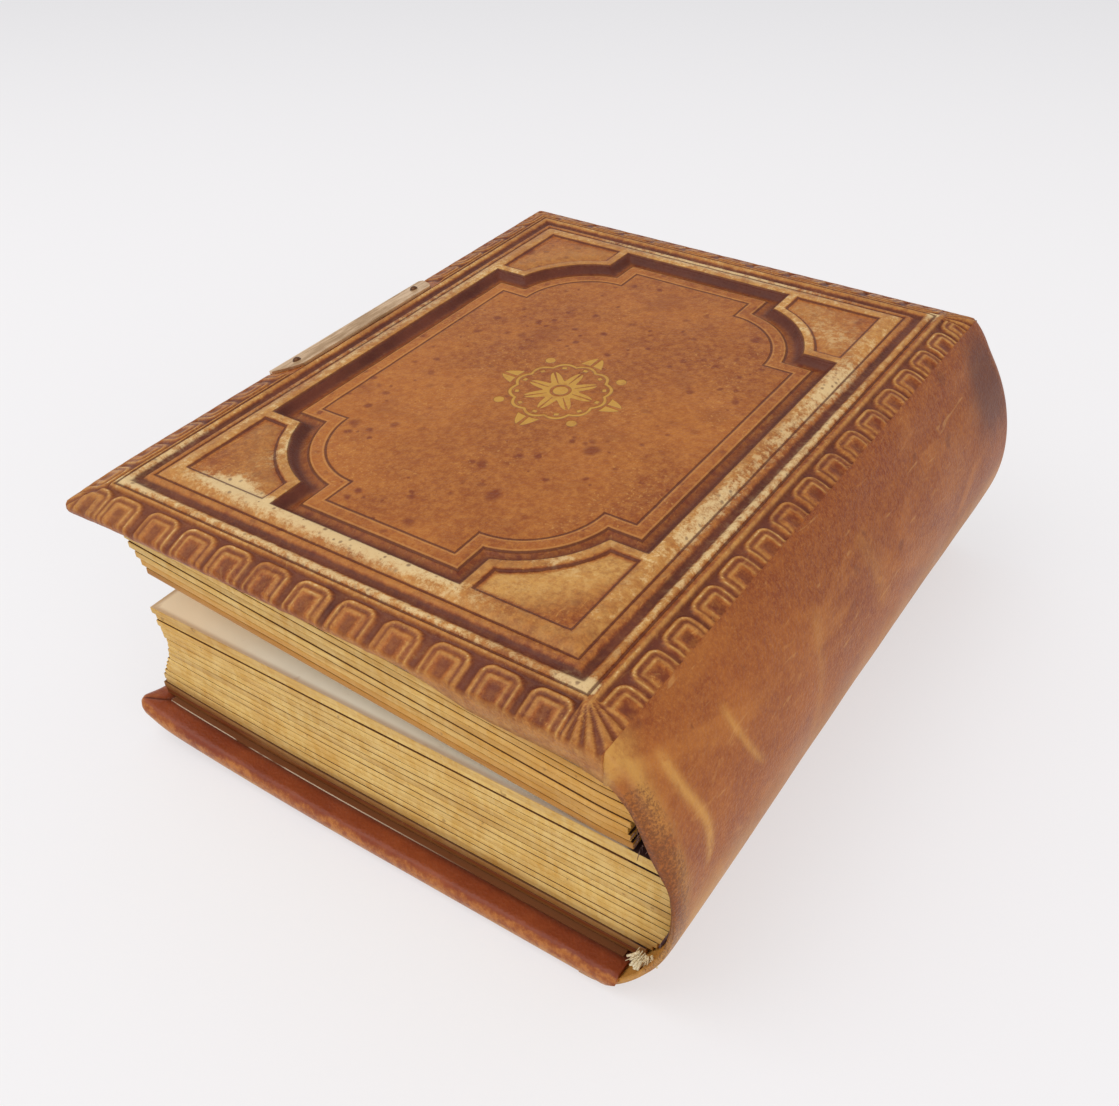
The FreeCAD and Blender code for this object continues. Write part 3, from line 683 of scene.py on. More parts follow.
def cover_heights(x, y):
    """Height of the embossed cover over the frame line, with the distances and the masks of its pattern."""
    from_fore, from_spine = x - fore, hinge_x - x
    from_head, from_tail = y - head, tail - y
    u = np.minimum(from_fore, from_spine) - border
    v = np.minimum(from_head, from_tail) - border
    e = np.minimum(u, v)
    cross = np.maximum(np.minimum(u - panel_side, v - panel_notch),
                       np.minimum(u - panel_notch, v - panel_side))
    depth = np.maximum(cross, lobe_radius - np.hypot(u - lobe_centre, v - lobe_centre))
    by_spine = (from_spine < from_fore) & (u < v)
    height = border_and_mouldings(np.minimum(e, panel_side + 0.4 * MM), by_spine.astype(float))
    edge_height = border_and_mouldings(np.array(panel_side))
    # corner panels, with a ridge between them and the sunken panel
    corner = np.minimum(e - panel_side - 0.3 * MM, -depth - spandrel_line)
    ridge = edge_height + 0.3 * MM * hill(depth, -2.9 * MM, 0.5 * MM)
    pillow = edge_height - 0.45 * MM + 0.34 * MM * smooth_step(corner, 0.2 * MM, 3 * MM)
    pillow = pillow - 0.3 * MM * hill(corner, -0.45 * MM, 0.55 * MM)
    height = np.where(e > panel_side, np.where(corner > 0, pillow, ridge), height)
    # the slope down into the panel, its margin and its even field
    fall = 1 - smooth_step(depth, 0, 1.3 * MM)
    low = -0.45 * MM + (edge_height + 0.45 * MM) * fall + 0.75 * MM * smooth_step(depth, 2.3 * MM, 4.2 * MM)
    low = low - 0.22 * MM * hill(depth, tooled_line - 0.5 * MM, tooled_line + 0.5 * MM)
    height = np.where(depth > 0, low, height)
    # arches on the border
    on_short = v < u
    along = np.where(on_short, from_fore, from_head) - border
    outwards = -e
    top = np.where(by_spine, 2.6 * MM, 1.8 * MM)
    by_side = [arch_cuts(along, outwards, places, top) for places in (short_arches, long_arches)]
    deep, dark, ridges = (np.where(on_short, s, l) for s, l in zip(*by_side))
    # the corners have a fan of ribs instead
    shift = np.where(from_fore < from_spine, 5.4 * MM, 0.0)
    past_u, past_v = -u - shift, -v
    fan_zone = smooth_step(np.minimum(past_u, past_v), -0.3 * MM, 0.2 * MM)
    radius = np.hypot(np.maximum(-u, 0), np.maximum(past_v, 0))
    fan_angle = np.arctan2(np.maximum(past_v, 0) + 1e-9, np.maximum(-u, 0) + 1e-9)
    ribs = smooth_step(-np.cos(fan_angle * 20), -0.15, 0.6)
    fan = ribs * smooth_step(radius, 1.6 * MM, 2.6 * MM)
    deep = deep * (1 - fan_zone) + 0.8 * fan * fan_zone
    dark = dark * (1 - fan_zone) + 0.8 * fan * fan_zone
    ridges = ridges * (1 - fan_zone) + 0.5 * (1 - ribs) * fan_zone
    # the arches' feet end close to the edge
    at_head = on_short & (from_head < from_tail)
    margin = MM * np.where(by_spine, -0.2, np.where(at_head, -0.6, 0.5))
    feet = smooth_step(border - outwards, margin, margin + 0.6 * MM)
    # nothing is stamped under the clasp's plate
    past_plate = np.maximum(x - plate_hi.x, np.maximum(plate_lo.y - y, y - plate_hi.y))
    free = smooth_step(past_plate, -0.2 * MM, 0.5 * MM)
    deep, dark, ridges = deep * feet * free, dark * feet * free, ridges * feet * free
    height = height - 0.62 * MM * deep + 0.12 * MM * smooth_step(outwards, 0.8 * MM, 1.6 * MM) * (1 - deep)
    height = height - 0.35 * MM * (1 - free) * smooth_step(outwards, -1.0 * MM, 0.4 * MM)
    rail = hill(outwards, np.where(by_spine, 0.75, 0.0) * MM, np.where(by_spine, 2.0, 1.1) * MM)
    ridges = np.maximum(ridges, 0.75 * rail * free)
    return height, e, depth, corner, dark, ridges


def spaced(stops, *spacings):
    """Places along a line from stop to stop, each stretch with its own spacing, in mm."""
    parts = []
    for start, end, spacing in zip(stops, stops[1:], spacings):
        steps = max(1, int(round((end - start) / (spacing * MM))))
        parts.append(np.linspace(start, end, steps + 1)[:-1])
    return np.concatenate(parts + [stops[-1:]])


# worn places on the front cover, in mm: middle, from the fore edge and the head, half sizes and strength
worn_places = (
    (60, 16.4, 27, 2.2, 1.0), (30, 17.2, 10, 2.6, 0.6), (62, 144.2, 32, 2.6, 0.7),
    (117.4, 70, 1.4, 46, 0.62), (112.2, 56, 2.2, 14, 0.62), (112.2, 95, 2.2, 26, 0.46),
    (112, 110, 3, 10, 0.4), (14.0, 84, 2.4, 44, 0.45), (34, 40, 6, 6, 0.5), (86, 31, 16, 3, 0.5),
    (30, 20, 4, 1.6, 0.35), (9.2, 9.2, 9, 1.2, 0.8), (9.0, 20, 1.4, 12, 0.6), (60, 8.7, 50, 1.2, 0.55),
    (116.5, 9.2, 4, 1.6, 1.1), (30, 36, 3, 10, 0.5), (100, 126, 12, 5, 0.28), (97, 135, 12, 6, 0.16),
    (118.3, 150, 1.6, 4, 0.8), (29, 17.8, 3, 2, 0.7),
)


def slab(name, xs, ys, rings, material, flat_end=True, flat_under=True):
    """A sheet on the given places, with rings below its edge, closed underneath.

    Returned with the column, row and ring of each of its points. A flat end has a sharp edge, and the
    underside is one face or a second grid.
    """
    columns, rows = len(xs) - 1, len(ys) - 1
    mesh = grid(columns, rows)
    rim = [e for e in mesh.edges if e.is_boundary]
    if not flat_under:
        copied = bmesh.ops.duplicate(mesh, geom=mesh.verts[:] + mesh.edges[:] + mesh.faces[:])["geom"]
        for vert in (g for g in copied if isinstance(g, bmesh.types.BMVert)):
            vert.co.z = -rings
    if flat_end:
        for edge in rim:
            edge.smooth = not all(v.co.x > columns - 0.5 for v in edge.verts)
    for level in range(rings):
        made = bmesh.ops.extrude_edge_only(mesh, edges=rim)["geom"]
        rim = [g for g in made if isinstance(g, bmesh.types.BMEdge) and g.is_boundary]
        for vert in {v for e in rim for v in e.verts}:
            vert.co.z = -(level + 1)
    if flat_under:
        bmesh.ops.edgeloop_fill(mesh, edges=rim)
    else:
        bmesh.ops.remove_doubles(mesh, verts=mesh.verts, dist=0.01)
    bmesh.ops.recalc_face_normals(mesh, faces=mesh.faces)
    made = piece(name, mesh, material)
    where = points_of(made)
    column, row, level = np.round(where * (1, 1, -1)).astype(int).T
    return made, column, row, level


def merge_touching(made, closer=0.002 * MM):
    """Merges the points of a piece that have come to lie on each other."""
    mesh = bmesh.new()
    mesh.from_mesh(made.data)
    bmesh.ops.remove_doubles(mesh, verts=mesh.verts, dist=closer)
    mesh.to_mesh(made.data)
    mesh.free()


def push_out(x, y, xs, ys, outwards, fading=8 * MM):
    """Moves points near a slab's three free sides outwards: its rim all the way, the rest less and less."""
    def moved(place, rim_at, way):
        return place + way * outwards * np.clip(1 + way * (place - rim_at) / fading, 0, 1)
    return moved(x, xs[0], -1), moved(moved(y, ys[0], -1), ys[-1], 1)


def round_corners(x, y, radius, low_x, low_y, high_y):
    """Moves the points near a slab's two fore-edge corners in, so that the corners are round in plan."""
    for edge, way in ((low_y, -1), (high_y, 1)):
        dx = low_x + radius - x
        dy = way * (y - (edge - way * radius))
        near = (dx > 0) & (dy > 0)
        pull = np.where(near, np.maximum(dx, dy) / np.maximum(np.hypot(dx, dy), 1e-9), 1.0)
        x = np.where(near, low_x + radius - dx * pull, x)
        y = np.where(near, edge - way * radius + way * dy * pull, y)
    return x, y


def droop(x, y, deepest=0.6 * MM, reach=9 * MM):
    """How far the front cover's bumped corner hangs down, at the head of the fore edge."""
    return deepest * np.exp(-(np.hypot(x - fore, y - head) / reach) ** 2)


def front_cover():
    """The front cover's embossed leather: a fine sheet on top, rolled over the edges and closed below."""
    # finest over the arched border, coarser in the even middle; the sheet ends flat at the hinge
    rim, fine, even = 0.45 * MM, 8.5 * MM, 46 * MM
    xs, ys = (spaced((low + rim, low + fine, low + even, high - even, high - fine, high - last),
                     0.3, 0.5, 0.55, 0.5, 0.3)
              for low, high, last in ((fore, hinge_x, 0), (head, tail, rim)))
    # from the top down: how far out from the sheet's outline, share of the thickness, how far the lip hangs
    rings = np.array(((0, 1, 0), (0.33, 0.86, 0), (0.45, 0.70, 0.2), (0.25, 0.46, 0.7), (-0.35, 0.20, 1),
                      (-1.3, 0.04, 0.7), (-3, 0, 0)))
    made, column, row, level = slab("front_cover_leather_visual", xs, ys, len(rings) - 1, cover_leather())
    across, along = np.meshgrid(xs, ys)
    height, e, depth, corner, cuts, ridges = cover_heights(across, along)
    # softened and a little uneven, except right by the hinge line
    flat = 1 - smooth_step(hinge_x - across, 0.0, 0.9 * MM)
    uneven = 0.035 * MM * waves(across / MM, along / MM, 2.2, 21)
    height = height * flat + (soften(height) + uneven) * (1 - flat)
    dark = np.clip(cuts * (0.86 + 0.14 * waves(across / MM, along / MM, 1.1, 4)), 0, 1)
    light = ridges * (0.85 + 0.3 * waves(across / MM, along / MM, 3.0, 41))
    # pale corner panels, the one by the spine and the head most
    near_spine = smooth_step(across, fore + 0.5 * width, fore + 0.7 * width) * (along < 0)
    pale = (0.35 + 0.6 * near_spine) * smooth_step(corner, 0.3 * MM, 1.2 * MM)
    light = np.maximum(light, pale * (1 - smooth_step(-depth - spandrel_line, 3 * MM, 15 * MM)))
    worn = 0
    for px, py, half_x, half_y, strength in worn_places:
        off_x = np.abs(((across - fore) / MM - px) / half_x)
        off_y = np.abs(((along - head) / MM - py) / half_y)
        worn = worn + strength * np.exp(-off_x ** 2.5 - off_y ** 2.5)
    bare = (1 - cuts) * (1 - smooth_step(depth, -0.3 * MM, 0.1 * MM)) * smooth_step(e, -1.2 * MM, -0.6 * MM)
    # worn by handling at the head of the fore edge
    handled = np.exp(-(np.hypot(across - fore, along - head) / (20 * MM)) ** 2)
    dark = dark * (1 - 0.3 * handled)
    light = np.maximum(light, 0.5 * handled * (1 - cuts))
    light = np.clip(light + 0.5 * worn * bare, 0, 1)
    x, y, z = xs[column], ys[row], frame_line + height[row, column]
    share_along = (x - fore) / width
    at_head = row == 0
    lip = 3.2 * smooth_step(share_along, 0.66, 0.82) + 1.5 * smooth_step(share_along, 0.94, 1.0)
    outwards, share, hang = rings[level].T
    x, y = push_out(x, y, xs, ys, outwards * MM)
    z = cover_under + (z - cover_under) * share - lip * MM * at_head * hang
    # the underside, where the endpaper lies, hangs less at the bumped corner
    drop = droop(x, y) * np.where(level == len(rings) - 1, 0.15, 1.0)
    x, y = round_corners(x, y, 1.3 * MM, fore, head, tail)
    put_points(made, np.stack([x, y, np.minimum(z - drop, ridge_top)], 1))
    rolled = np.interp(level, (0, 1, 2, 3), (1.0, 0.9, 0.45, 0.0))
    # the lip that hangs over the head is rubbed pale
    rubbed_lip = np.interp(level, (0, 1, 2, 4, 5), (0, 0.5, 1, 1, 0)) * at_head
    rubbed_lip = rubbed_lip * smooth_step(share_along, 0.45, 0.7)
    put_attribute(made, "dark", dark[row, column] * rolled * (1 - rubbed_lip))
    put_attribute(made, "light", np.maximum(light[row, column] * rolled, 0.5 * rubbed_lip))
    put_attribute(made, "cream", np.clip(worn, 0, 1)[row, column] * rolled)
    put_attribute(made, "bare", 0.8 * bare[row, column])
    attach(made, "front_cover")
    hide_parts("front_cover_leather")


def front_board():
    """The millboard inside the front cover, pressed to the cover's relief."""
    inset, skin, turned_in = 3.2 * MM, 1.5 * MM, 0.6 * MM
    xs = spaced((fore + inset, hinge_x - skin), 2.0)
    ys = spaced((head + inset, tail - inset), 2.0)
    made, column, row, level = slab("front_board_visual", xs, ys, 1, millboard(), flat_end=False)
    x, y = xs[column], ys[row]
    surface = frame_line + cover_heights(x, y)[0] - skin - droop(x, y)
    z = np.where(level == 1, cover_under + turned_in, np.minimum(surface, frame_line - 1.2 * MM))
    put_points(made, np.stack([x, y, z], 1))
    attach(made, "front_cover")
    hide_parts("front_board")


# --- spine -----------------------------------------------------------------------------------------
def rolled_underside(x):
    """How high the back cover's outer face has rolled up near its hinge line, under the spine's leather."""
    away = np.clip(x - (hinge_x - roll_width), 0, roll_width)
    return roll_radius - np.sqrt(roll_radius ** 2 - away ** 2)


def spine_path(side):
    """Places on the spine's cross-section from a hinge line to its middle: x, z and the leather's slant."""
    slant = np.linspace(crown_angle, 0.0, 46)
    x, z = crown_x + crown_radius * np.cos(slant), crown_z + side * crown_radius * np.sin(slant)
    if side < 0:
        # the lower half carries on over the back cover's rolled edge
        away = np.linspace(-1.2 * MM, roll_width, 13)[:-1]
        over = hinge_x - roll_width + away
        x, z = np.concatenate([over, x]), np.concatenate([rolled_underside(over) + 0.01 * MM, z])
        lean = np.pi / 2 - np.arcsin(np.clip(away, 0, None) / roll_radius)
        slant = np.concatenate([lean, slant])
    return x, z, side * slant


def spine_half(name, side):
    """Half of the spine's leather: a thick sheet, rolled in over the leaves at its head and tail."""
    path_x, path_z, slants = spine_path(side)
    ys = spaced((head, head + 6 * MM, tail - 6 * MM, tail), 0.3, 0.9, 0.4)
    last = len(path_x) - 1
    mesh = grid(last, len(ys) - 1)
    for edge in mesh.edges:
        ends = [v.co.x for v in edge.verts]
        edge.smooth = max(ends) > 0.5 and min(ends) < last - 0.5
    if side < 0:
        bmesh.ops.reverse_faces(mesh, faces=mesh.faces)
    made = piece(name, mesh, smooth_tan)
    where = points_of(made)
    column, row = np.round(where[:, 0]).astype(int), np.round(where[:, 1]).astype(int)
    y, slant = ys[row], slants[column]
    from_head, from_tail = (y - head) / MM, (tail - y) / MM
    # how far the spine has sunk in along its length, but not at the hinges, and its dents
    belly = 1 - smooth_step(np.abs(slant), crown_angle - 0.24, crown_angle)
    slim = 0.2 + 0.75 * smooth_step(from_head, 25, 95) - 0.25 * (1 - smooth_step(from_tail, 0, 40))
    dents = 0.18 * waves(y / MM, slant * 40, 13, 5) + 0.07 * waves(y / MM, slant * 40, 4.0, 8)
    degrees = np.degrees(slant)
    # how far the head cap is rolled in at each angle round the spine
    cap = np.interp(degrees, (-45, -32, -21, -8, 3, 8, 12, 16, 21, 31, 36, 41, 46),
                    (0.3, 0.6, 0.3, 0.3, 0.8, 1.3, 2.2, 2.8, 2.9, 2.5, 3.0, 4.3, 6.9))
    cap_length = np.interp(degrees, (32, 46), (3.8, 1.0))
    roll_in = cap * (1 - np.sqrt(1 - np.clip(1 - from_head / cap_length, 0, 1) ** 2))
    roll_in = roll_in + (0.8 + 0.4 * belly) * (1 - np.sqrt(1 - np.clip(1 - from_tail / 2.4, 0, 1) ** 2))
    inset = MM * (np.clip((slim + dents) * belly, 0.0, 2.0) + roll_in)
    # by the upper hinge the cap hangs straight down, level with the cover's lip
    turn = smooth_step(46 - degrees, 0, 11)
    x = path_x[column] - inset * np.cos(slant) * turn
    z = path_z[column] - inset * (np.sin(slant) * turn + 1 - turn)
    put_points(made, np.stack([x, y, z], 1))
    # a dark speckled band by the head, with a ragged border, weaker on the lower half
    ragged = 0.9 * waves(y / MM, slant * 40, 1.3, 17) + 0.8 * waves(y / MM, slant * 40, 3.1, 18)
    upper = smooth_step(degrees, -30, -5)
    speckled = (1 - smooth_step(from_head + 0.7 * ragged, 0.6, 6.5)) * (0.45 + 0.55 * upper)
    # lighter: a band by the head, the head cap by both hinges, and the lower half all along, this last a
    # painted reflection of the floor
    light = np.maximum.reduce((
        np.exp(-((from_head - 3.2 + 0.5 * ragged) / 2.0) ** 2) * (0.45 + 0.5 * smooth_step(degrees, 24, 40)),
        smooth_step(degrees, 36, 43) * (1 - smooth_step(from_head, 2, 9)),
        (1 - smooth_step(from_head + ragged, 2, 9)) * (1 - smooth_step(degrees, -30, -6)),
        (0.9 - 0.4 * smooth_step(from_head, 8, 40)) * (1 - smooth_step(degrees, -18, 4))))
    speckled = speckled * (1 - smooth_step(degrees, 32, 38)) * (1 - 0.6 * (degrees < -32))
    # two long rubs curving over the shoulder near the head, and fainter ones further on: where each is,
    # between which angles, its half width and its strength
    rubbed = 0
    for at, low, high, half, strength in (
            (8.9 + 3.2 * np.exp(-((degrees - 12) / 12) ** 2), 1, 39, 1.1, 0.85),
            (25.5 + 0.009 * (33 - degrees) ** 2, 8, 34, 0.8, 0.6),
            (52 + 0.2 * degrees, -8, 30, 1.6, 0.2),
            (84 - 0.15 * degrees, 2, 34, 2.4, 0.15)):
        ends = smooth_step(degrees, low, low + 5) * (1 - smooth_step(degrees, high - 6, high))
        rubbed = rubbed + strength * np.exp(-((from_head - at) / half) ** 2) * ends
    # a dark stain near the tail
    stain = np.hypot((from_head - 150) / 14.5, (degrees - 27) / 20) + 0.08 * ragged
    dark = 0.9 * (1 - smooth_step(stain, 0.35, 1.15)) * smooth_step(from_tail, -0.5, 4)
    for key, field in (("speckled", speckled), ("light", light), ("rubbed", rubbed), ("dark", dark)):
        put_attribute(made, key, np.clip(field, 0, 1))
    wall = made.modifiers.new("wall", "SOLIDIFY")
    wall.thickness = spine_wall if side > 0 else spine_wall - 0.5 * MM
    wall.offset = -1
    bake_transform(made)
    return made


def spine():
    """The spine's leather in two halves, upper and lower, meeting at the spine's middle."""
    upper = spine_half("spine_leather_upper", 1)
    spine_half("spine_leather_lower", -1)
    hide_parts("spine_cover_leather")


# --- back cover ------------------------------------------------------------------------------------
def bowed_height(x, height):
    """z of the back cover at a height over its outer face, bowed up towards the fore edge."""
    away = np.clip(bow_start - x, 0, None)
    return height + bow_radius - np.sqrt(bow_radius ** 2 - away ** 2)


def corner_curl(x, y, highest=2.4 * MM, reach=5.5 * MM):
    """How far the back cover is bent up by its bumped corner, at the head of the fore edge."""
    return highest * np.exp(-(np.hypot(x - back_lo.x, y - back_lo.y) / reach) ** 2)


def back_board():
    """The millboard inside the back cover, bowed and curled with it."""
    board_lo, board_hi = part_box("back_board")
    inset, low, high = 2 * MM, 1.3 * MM, 4.6 * MM
    xs = spaced((board_lo.x + inset, board_hi.x), 2.0)
    ys = spaced((board_lo.y + inset, board_hi.y - inset), 2.0)
    made, column, row, level = slab("back_board_visual", xs, ys, 1, millboard(), flat_end=False,
                                    flat_under=False)
    x, y = xs[column], ys[row]
    under = np.minimum(np.maximum(low, rolled_underside(x) + 1.5 * MM), high - 0.4 * MM)
    height = np.where(level == 1, under, high)
    put_points(made, np.stack([x, y, bowed_height(x, height) + corner_curl(x, y)], 1))
    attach(made, "back_cover")
    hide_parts("back_board")


def back_cover():
    """The back board in its leather: a rounded slab bent up at its fore edge."""
    board, rim, fine = 5.7 * MM, 1.6 * MM, 8 * MM
    turned_in = 5.6 * MM
    xs = spaced((back_lo.x + rim, back_lo.x + fine, hinge_x), 0.5, 1.0)
    ys = spaced((back_lo.y + rim, back_lo.y + fine, tail - fine, tail - rim), 0.5, 1.0, 0.5)
    # from the top down: how far in from the cover's outline, and the height over the outer face, in mm
    rings = np.array(((rim / MM, board / MM), (0.75, 5.35), (0.2, 4.5), (0, 3.4), (0.12, 2.3), (0.6, 1.2),
                      (1.5, 0.4), (2.9, 0)))
    made, column, row, level = slab("back_cover_leather_visual", xs, ys, len(rings) - 1, board_leather(),
                                    flat_under=False)
    x, y = xs[column], ys[row]
    inset, height = rings[level].T * MM
    x, y = push_out(x, y, xs, ys, rim - inset)
    edge_x, edge_y = x - back_lo.x, np.minimum(y - back_lo.y, tail - y)
    near_edge = np.minimum(edge_x, edge_y) / MM
    x, y = round_corners(x, y, 2.6 * MM, back_lo.x, back_lo.y, tail)
    # the outer face rolls up to the hinge line, under the spine's leather
    away = x - (hinge_x - roll_width)
    floor = rolled_underside(x) + 1.0 * MM * smooth_step(away, -0.1 * MM, 0.8 * MM)
    height = np.maximum(height, floor * (away > 0))
    # turned-in leather: puckered along its edge, stepping down under the endpaper, mitred at the corners
    top = level == 0
    pucker = 0.07 * MM * waves(x / MM, y / MM, 4, 12) * (1 - smooth_step(near_edge, 3, 5))
    mitre = np.exp(-((edge_x - edge_y) / (0.35 * MM)) ** 2) * (np.maximum(edge_x, edge_y) < turned_in)
    height = np.where(top, height - 0.08 * MM + np.minimum(pucker, 0.06 * MM) - 0.3 * MM * mitre, height)
    put_points(made, np.stack([x, y, bowed_height(x, height) + corner_curl(x, y)], 1))
    light = np.array((0, 0.42, 0.62, 0.85, 1.0, 1.0, 0.8, 0.5))[level]
    light = np.where(top, 0.35 * smooth_step(-edge_x, -7 * MM, -2 * MM) * (edge_x < edge_y), light)
    light = np.where(level == len(rings) - 1, light * (1 - smooth_step(near_edge, 2.5, 9)), light)
    # painted shade on the turn-in, deepening inwards towards the leaves that overhang it, and a dark line
    # along each mitre
    dark = np.where(top, 0.8 * smooth_step(near_edge, 3.6, 5.4), 0)
    put_attribute(made, "light", np.clip(light, 0, 1))
    put_attribute(made, "dark", np.clip(np.maximum(dark, 0.9 * mitre * top), 0, 1))
    merge_touching(made)
    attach(made, "back_cover")
    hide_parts("back_cover_leather")


# --- leaves ----------------------------------------------------------------------------------------
# fore edge of the leaves: (from the cover's fore edge, height), bottom to top
lower_fore_edge = ((1.9, 6.4), (2.3, 12.0), (3.7, 15.6), (5.8, 18.9), (7.6, 22.2), (8.6, 25.2),
                   (9.3, 27.5), (9.0, 30.5), (8.3, 34.0), (7.7, 37.2))
upper_fore_edge = ((11.8, 47.4), (11.0, 49.2), (10.2, 51.2), (9.2, 52.6), (7.9, 55.0), (6.6, 58.6),
                   (5.8, 61.0))
torn_back_edge = (127.6, 127.2, 126.8, 127.4)     # the upper stack's lowest leaves stop short at the head
leaf_gap = 0.24 * MM
leaf_wave = 0.035 * MM
leaf_clearance = 0.15 * MM
# the upper stack's underside slants down from its fore edge to the lower stack's top, near the spine
lift_x, lift_z = upper_fore_edge[0]
rest_x, rest_z = 121.4, 37.2
# how brown each leaf's edge is, from the bottom of its stack up: on the lowest leaves of the lower stack a
# painted shade; and the orange ones above the opening
lower_tints_and_shades = (1.0, 0.86, 0.42, 0.16, 0.08, 0, 0, 0, 0, 0.16, 0, 0, 0, 0, 0, 0, 0)
upper_tints = (0.42, 0.22, 0.12, 0.04, 0.16, 0.02, 0.10, 0.06)
orange = (0.9, 0.6, 0.2, 0, 0, 0, 0, 0)


def spine_inside(z):
    """x of the spine leather's inner face at a height."""
    inner = crown_radius - spine_wall - leaf_clearance
    return crown_x + math.sqrt(inner ** 2 - (z - crown_z) ** 2)


def leaf_places():
    """Each leaf from the bottom up: fore edge, back edge, how much is torn off at the head, and height."""
    for i in range(lower_leaves):
        sagging = 0.06 * (i == lower_leaves - 1)
        share = (i + 0.5 + 0.035 * math.sin(2.4 * i * i) - sagging) / lower_leaves

        def height(x, share=share, i=i):
            low = bowed_height(x, bow_floor + 0.05 * MM)
            return low + (stack_split - low) * share + leaf_wave * np.sin(x / (8 * MM) + 1.7 * i)
        from_fore, at = np.array(lower_fore_edge).T * MM
        start = fore + np.interp(float(height(np.array(fore + 5 * MM))), at, from_fore)
        yield start, spine_inside(bow_floor + (stack_split - bow_floor) * share), 0.0, height
    slope = (lift_z - rest_z) / (rest_x - lift_x)
    for j in range(upper_leaves):
        def height(x, j=j):
            up = leaf * (j + 0.5)
            slanted = lift_z * MM + up - slope * (x - fore - lift_x * MM)
            slanted = slanted + leaf_wave * np.sin(x / (9 * MM) + 2.1 * j)
            return np.maximum(slanted, stack_split + up + 0.05 * MM)
        from_fore, at = np.array(upper_fore_edge).T * MM
        start = fore + np.interp(float(height(np.array(fore + 9 * MM))), at, from_fore)
        back = spine_inside(float(height(np.array(hinge_x + 6 * MM))))
        torn = back - fore - torn_back_edge[j] * MM if j < len(torn_back_edge) else 0.0
        yield start, back, torn, height


def leaves():
    """Every leaf as its own rounded sheet of card, all in one piece, with a gilt rim and cream faces."""
    whole = bmesh.new()
    layers = [whole.verts.layers.float.new(key) for key in ("tint_and_shade", "from_edge", "amber", "opened")]
    tints_and_shades = lower_tints_and_shades + upper_tints
    ambers = (0,) * lower_leaves + orange
    open_faces = (lower_leaves - 1, lower_leaves + upper_leaves - 1)
    for index, (start, back, torn, height) in enumerate(leaf_places()):
        jut_head, jut_fore, jut_tail = rng.normal(0, 0.14, 3)
        y_0 = leaves_lo.y + abs(jut_head) * MM
        y_1 = leaves_hi.y - abs(jut_tail) * MM
        x_0 = start + 1.2 * jut_fore * MM
        before = set(whole.verts)
        bmesh.ops.create_grid(whole, x_segments=44, y_segments=24, size=0.5)
        tint_and_shade = max(0, rng.normal(0.0, 0.08)) + tints_and_shades[index]
        for vert in (v for v in whole.verts if v not in before):
            # closer together towards the sheet's edges
            s, t = (0.5 - 0.5 * math.cos(math.pi * (q + 0.5)) for q in (vert.co.x, vert.co.y))
            y = y_0 + (y_1 - y_0) * t
            slimmer = 0.85 * MM * float(smooth_step(y, head + 22 * MM, head + 90 * MM))
            slimmer += torn * (1 - float(smooth_step(y, head + 7 * MM, head + 24 * MM)))
            x = x_0 + (back - slimmer - x_0) * s
            vert.co = (x, y, float(height(np.array(x))))
            ageing = 0.65 * float(smooth_step(x, fore + 70 * MM, hinge_x)) * (index >= lower_leaves)
            values = (tint_and_shade, min(x - x_0, y - y_0, y_1 - y), max(ageing, ambers[index]),
                      float(index in open_faces))
            for layer, value in zip(layers, values):
                vert[layer] = value
    made = piece("album_leaves", whole, page_face(), gilt_edge())
    card = made.modifiers.new("card", "SOLIDIFY")
    card.thickness = leaf - leaf_gap
    card.offset = 0
    card.material_offset_rim = 1
    edge = made.modifiers.new("worn_edge", "BEVEL")
    edge.width = 0.24 * MM
    edge.segments = 2
    edge.limit_method = "ANGLE"
    edge.angle_limit = math.radians(60)
    edge.material = 1
    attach(made, "book_block")
    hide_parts("leaf_block")


# --- loose threads ---------------------------------------------------------------------------------
def strand(mesh, points, radius, taper):
    """A thin tapered thread through a few points."""
    previous = None
    for k, point in enumerate(points):
        here = radius * (1 - taper * k / (len(points) - 1))
        ring = bmesh.ops.create_circle(mesh, segments=6, radius=here)["verts"]
        ahead = Vector(points[min(k + 1, len(points) - 1)]) - Vector(points[max(k - 1, 0)])
        turn = ahead.to_track_quat("Z", "Y").to_matrix()
        for vert in ring:
            vert.co = turn @ vert.co + Vector(point)
        edges = list({e for v in ring for e in v.link_edges if all(end in ring for end in e.verts)})
        if previous:
            bmesh.ops.bridge_loops(mesh, edges=previous + edges)
        else:
            bmesh.ops.contextual_create(mesh, geom=edges)
        previous = edges
    bmesh.ops.contextual_create(mesh, geom=previous)


def tuft(mesh, root, count, spread, direction, long, thick, taper=0.75):
    """Short threads that spread from one place."""
    for _ in range(count):
        off = (rng.normal(0, spread), rng.normal(0, spread * 0.3), rng.normal(0, spread))
        base = root + Vector(off) * MM
        lean = (Vector(direction) + Vector(rng.normal(0, 0.35, 3))).normalized()
        sag = Vector((rng.normal(0, 0.4), 0, rng.normal(-0.3, 0.5)))
        reach = rng.uniform(*long)
        points = [base + (lean * reach * q + sag * q * q) * MM for q in (0, 0.35, 0.7, 1.0)]
        strand(mesh, [tuple(p) for p in points], rng.uniform(*thick) * MM, taper)


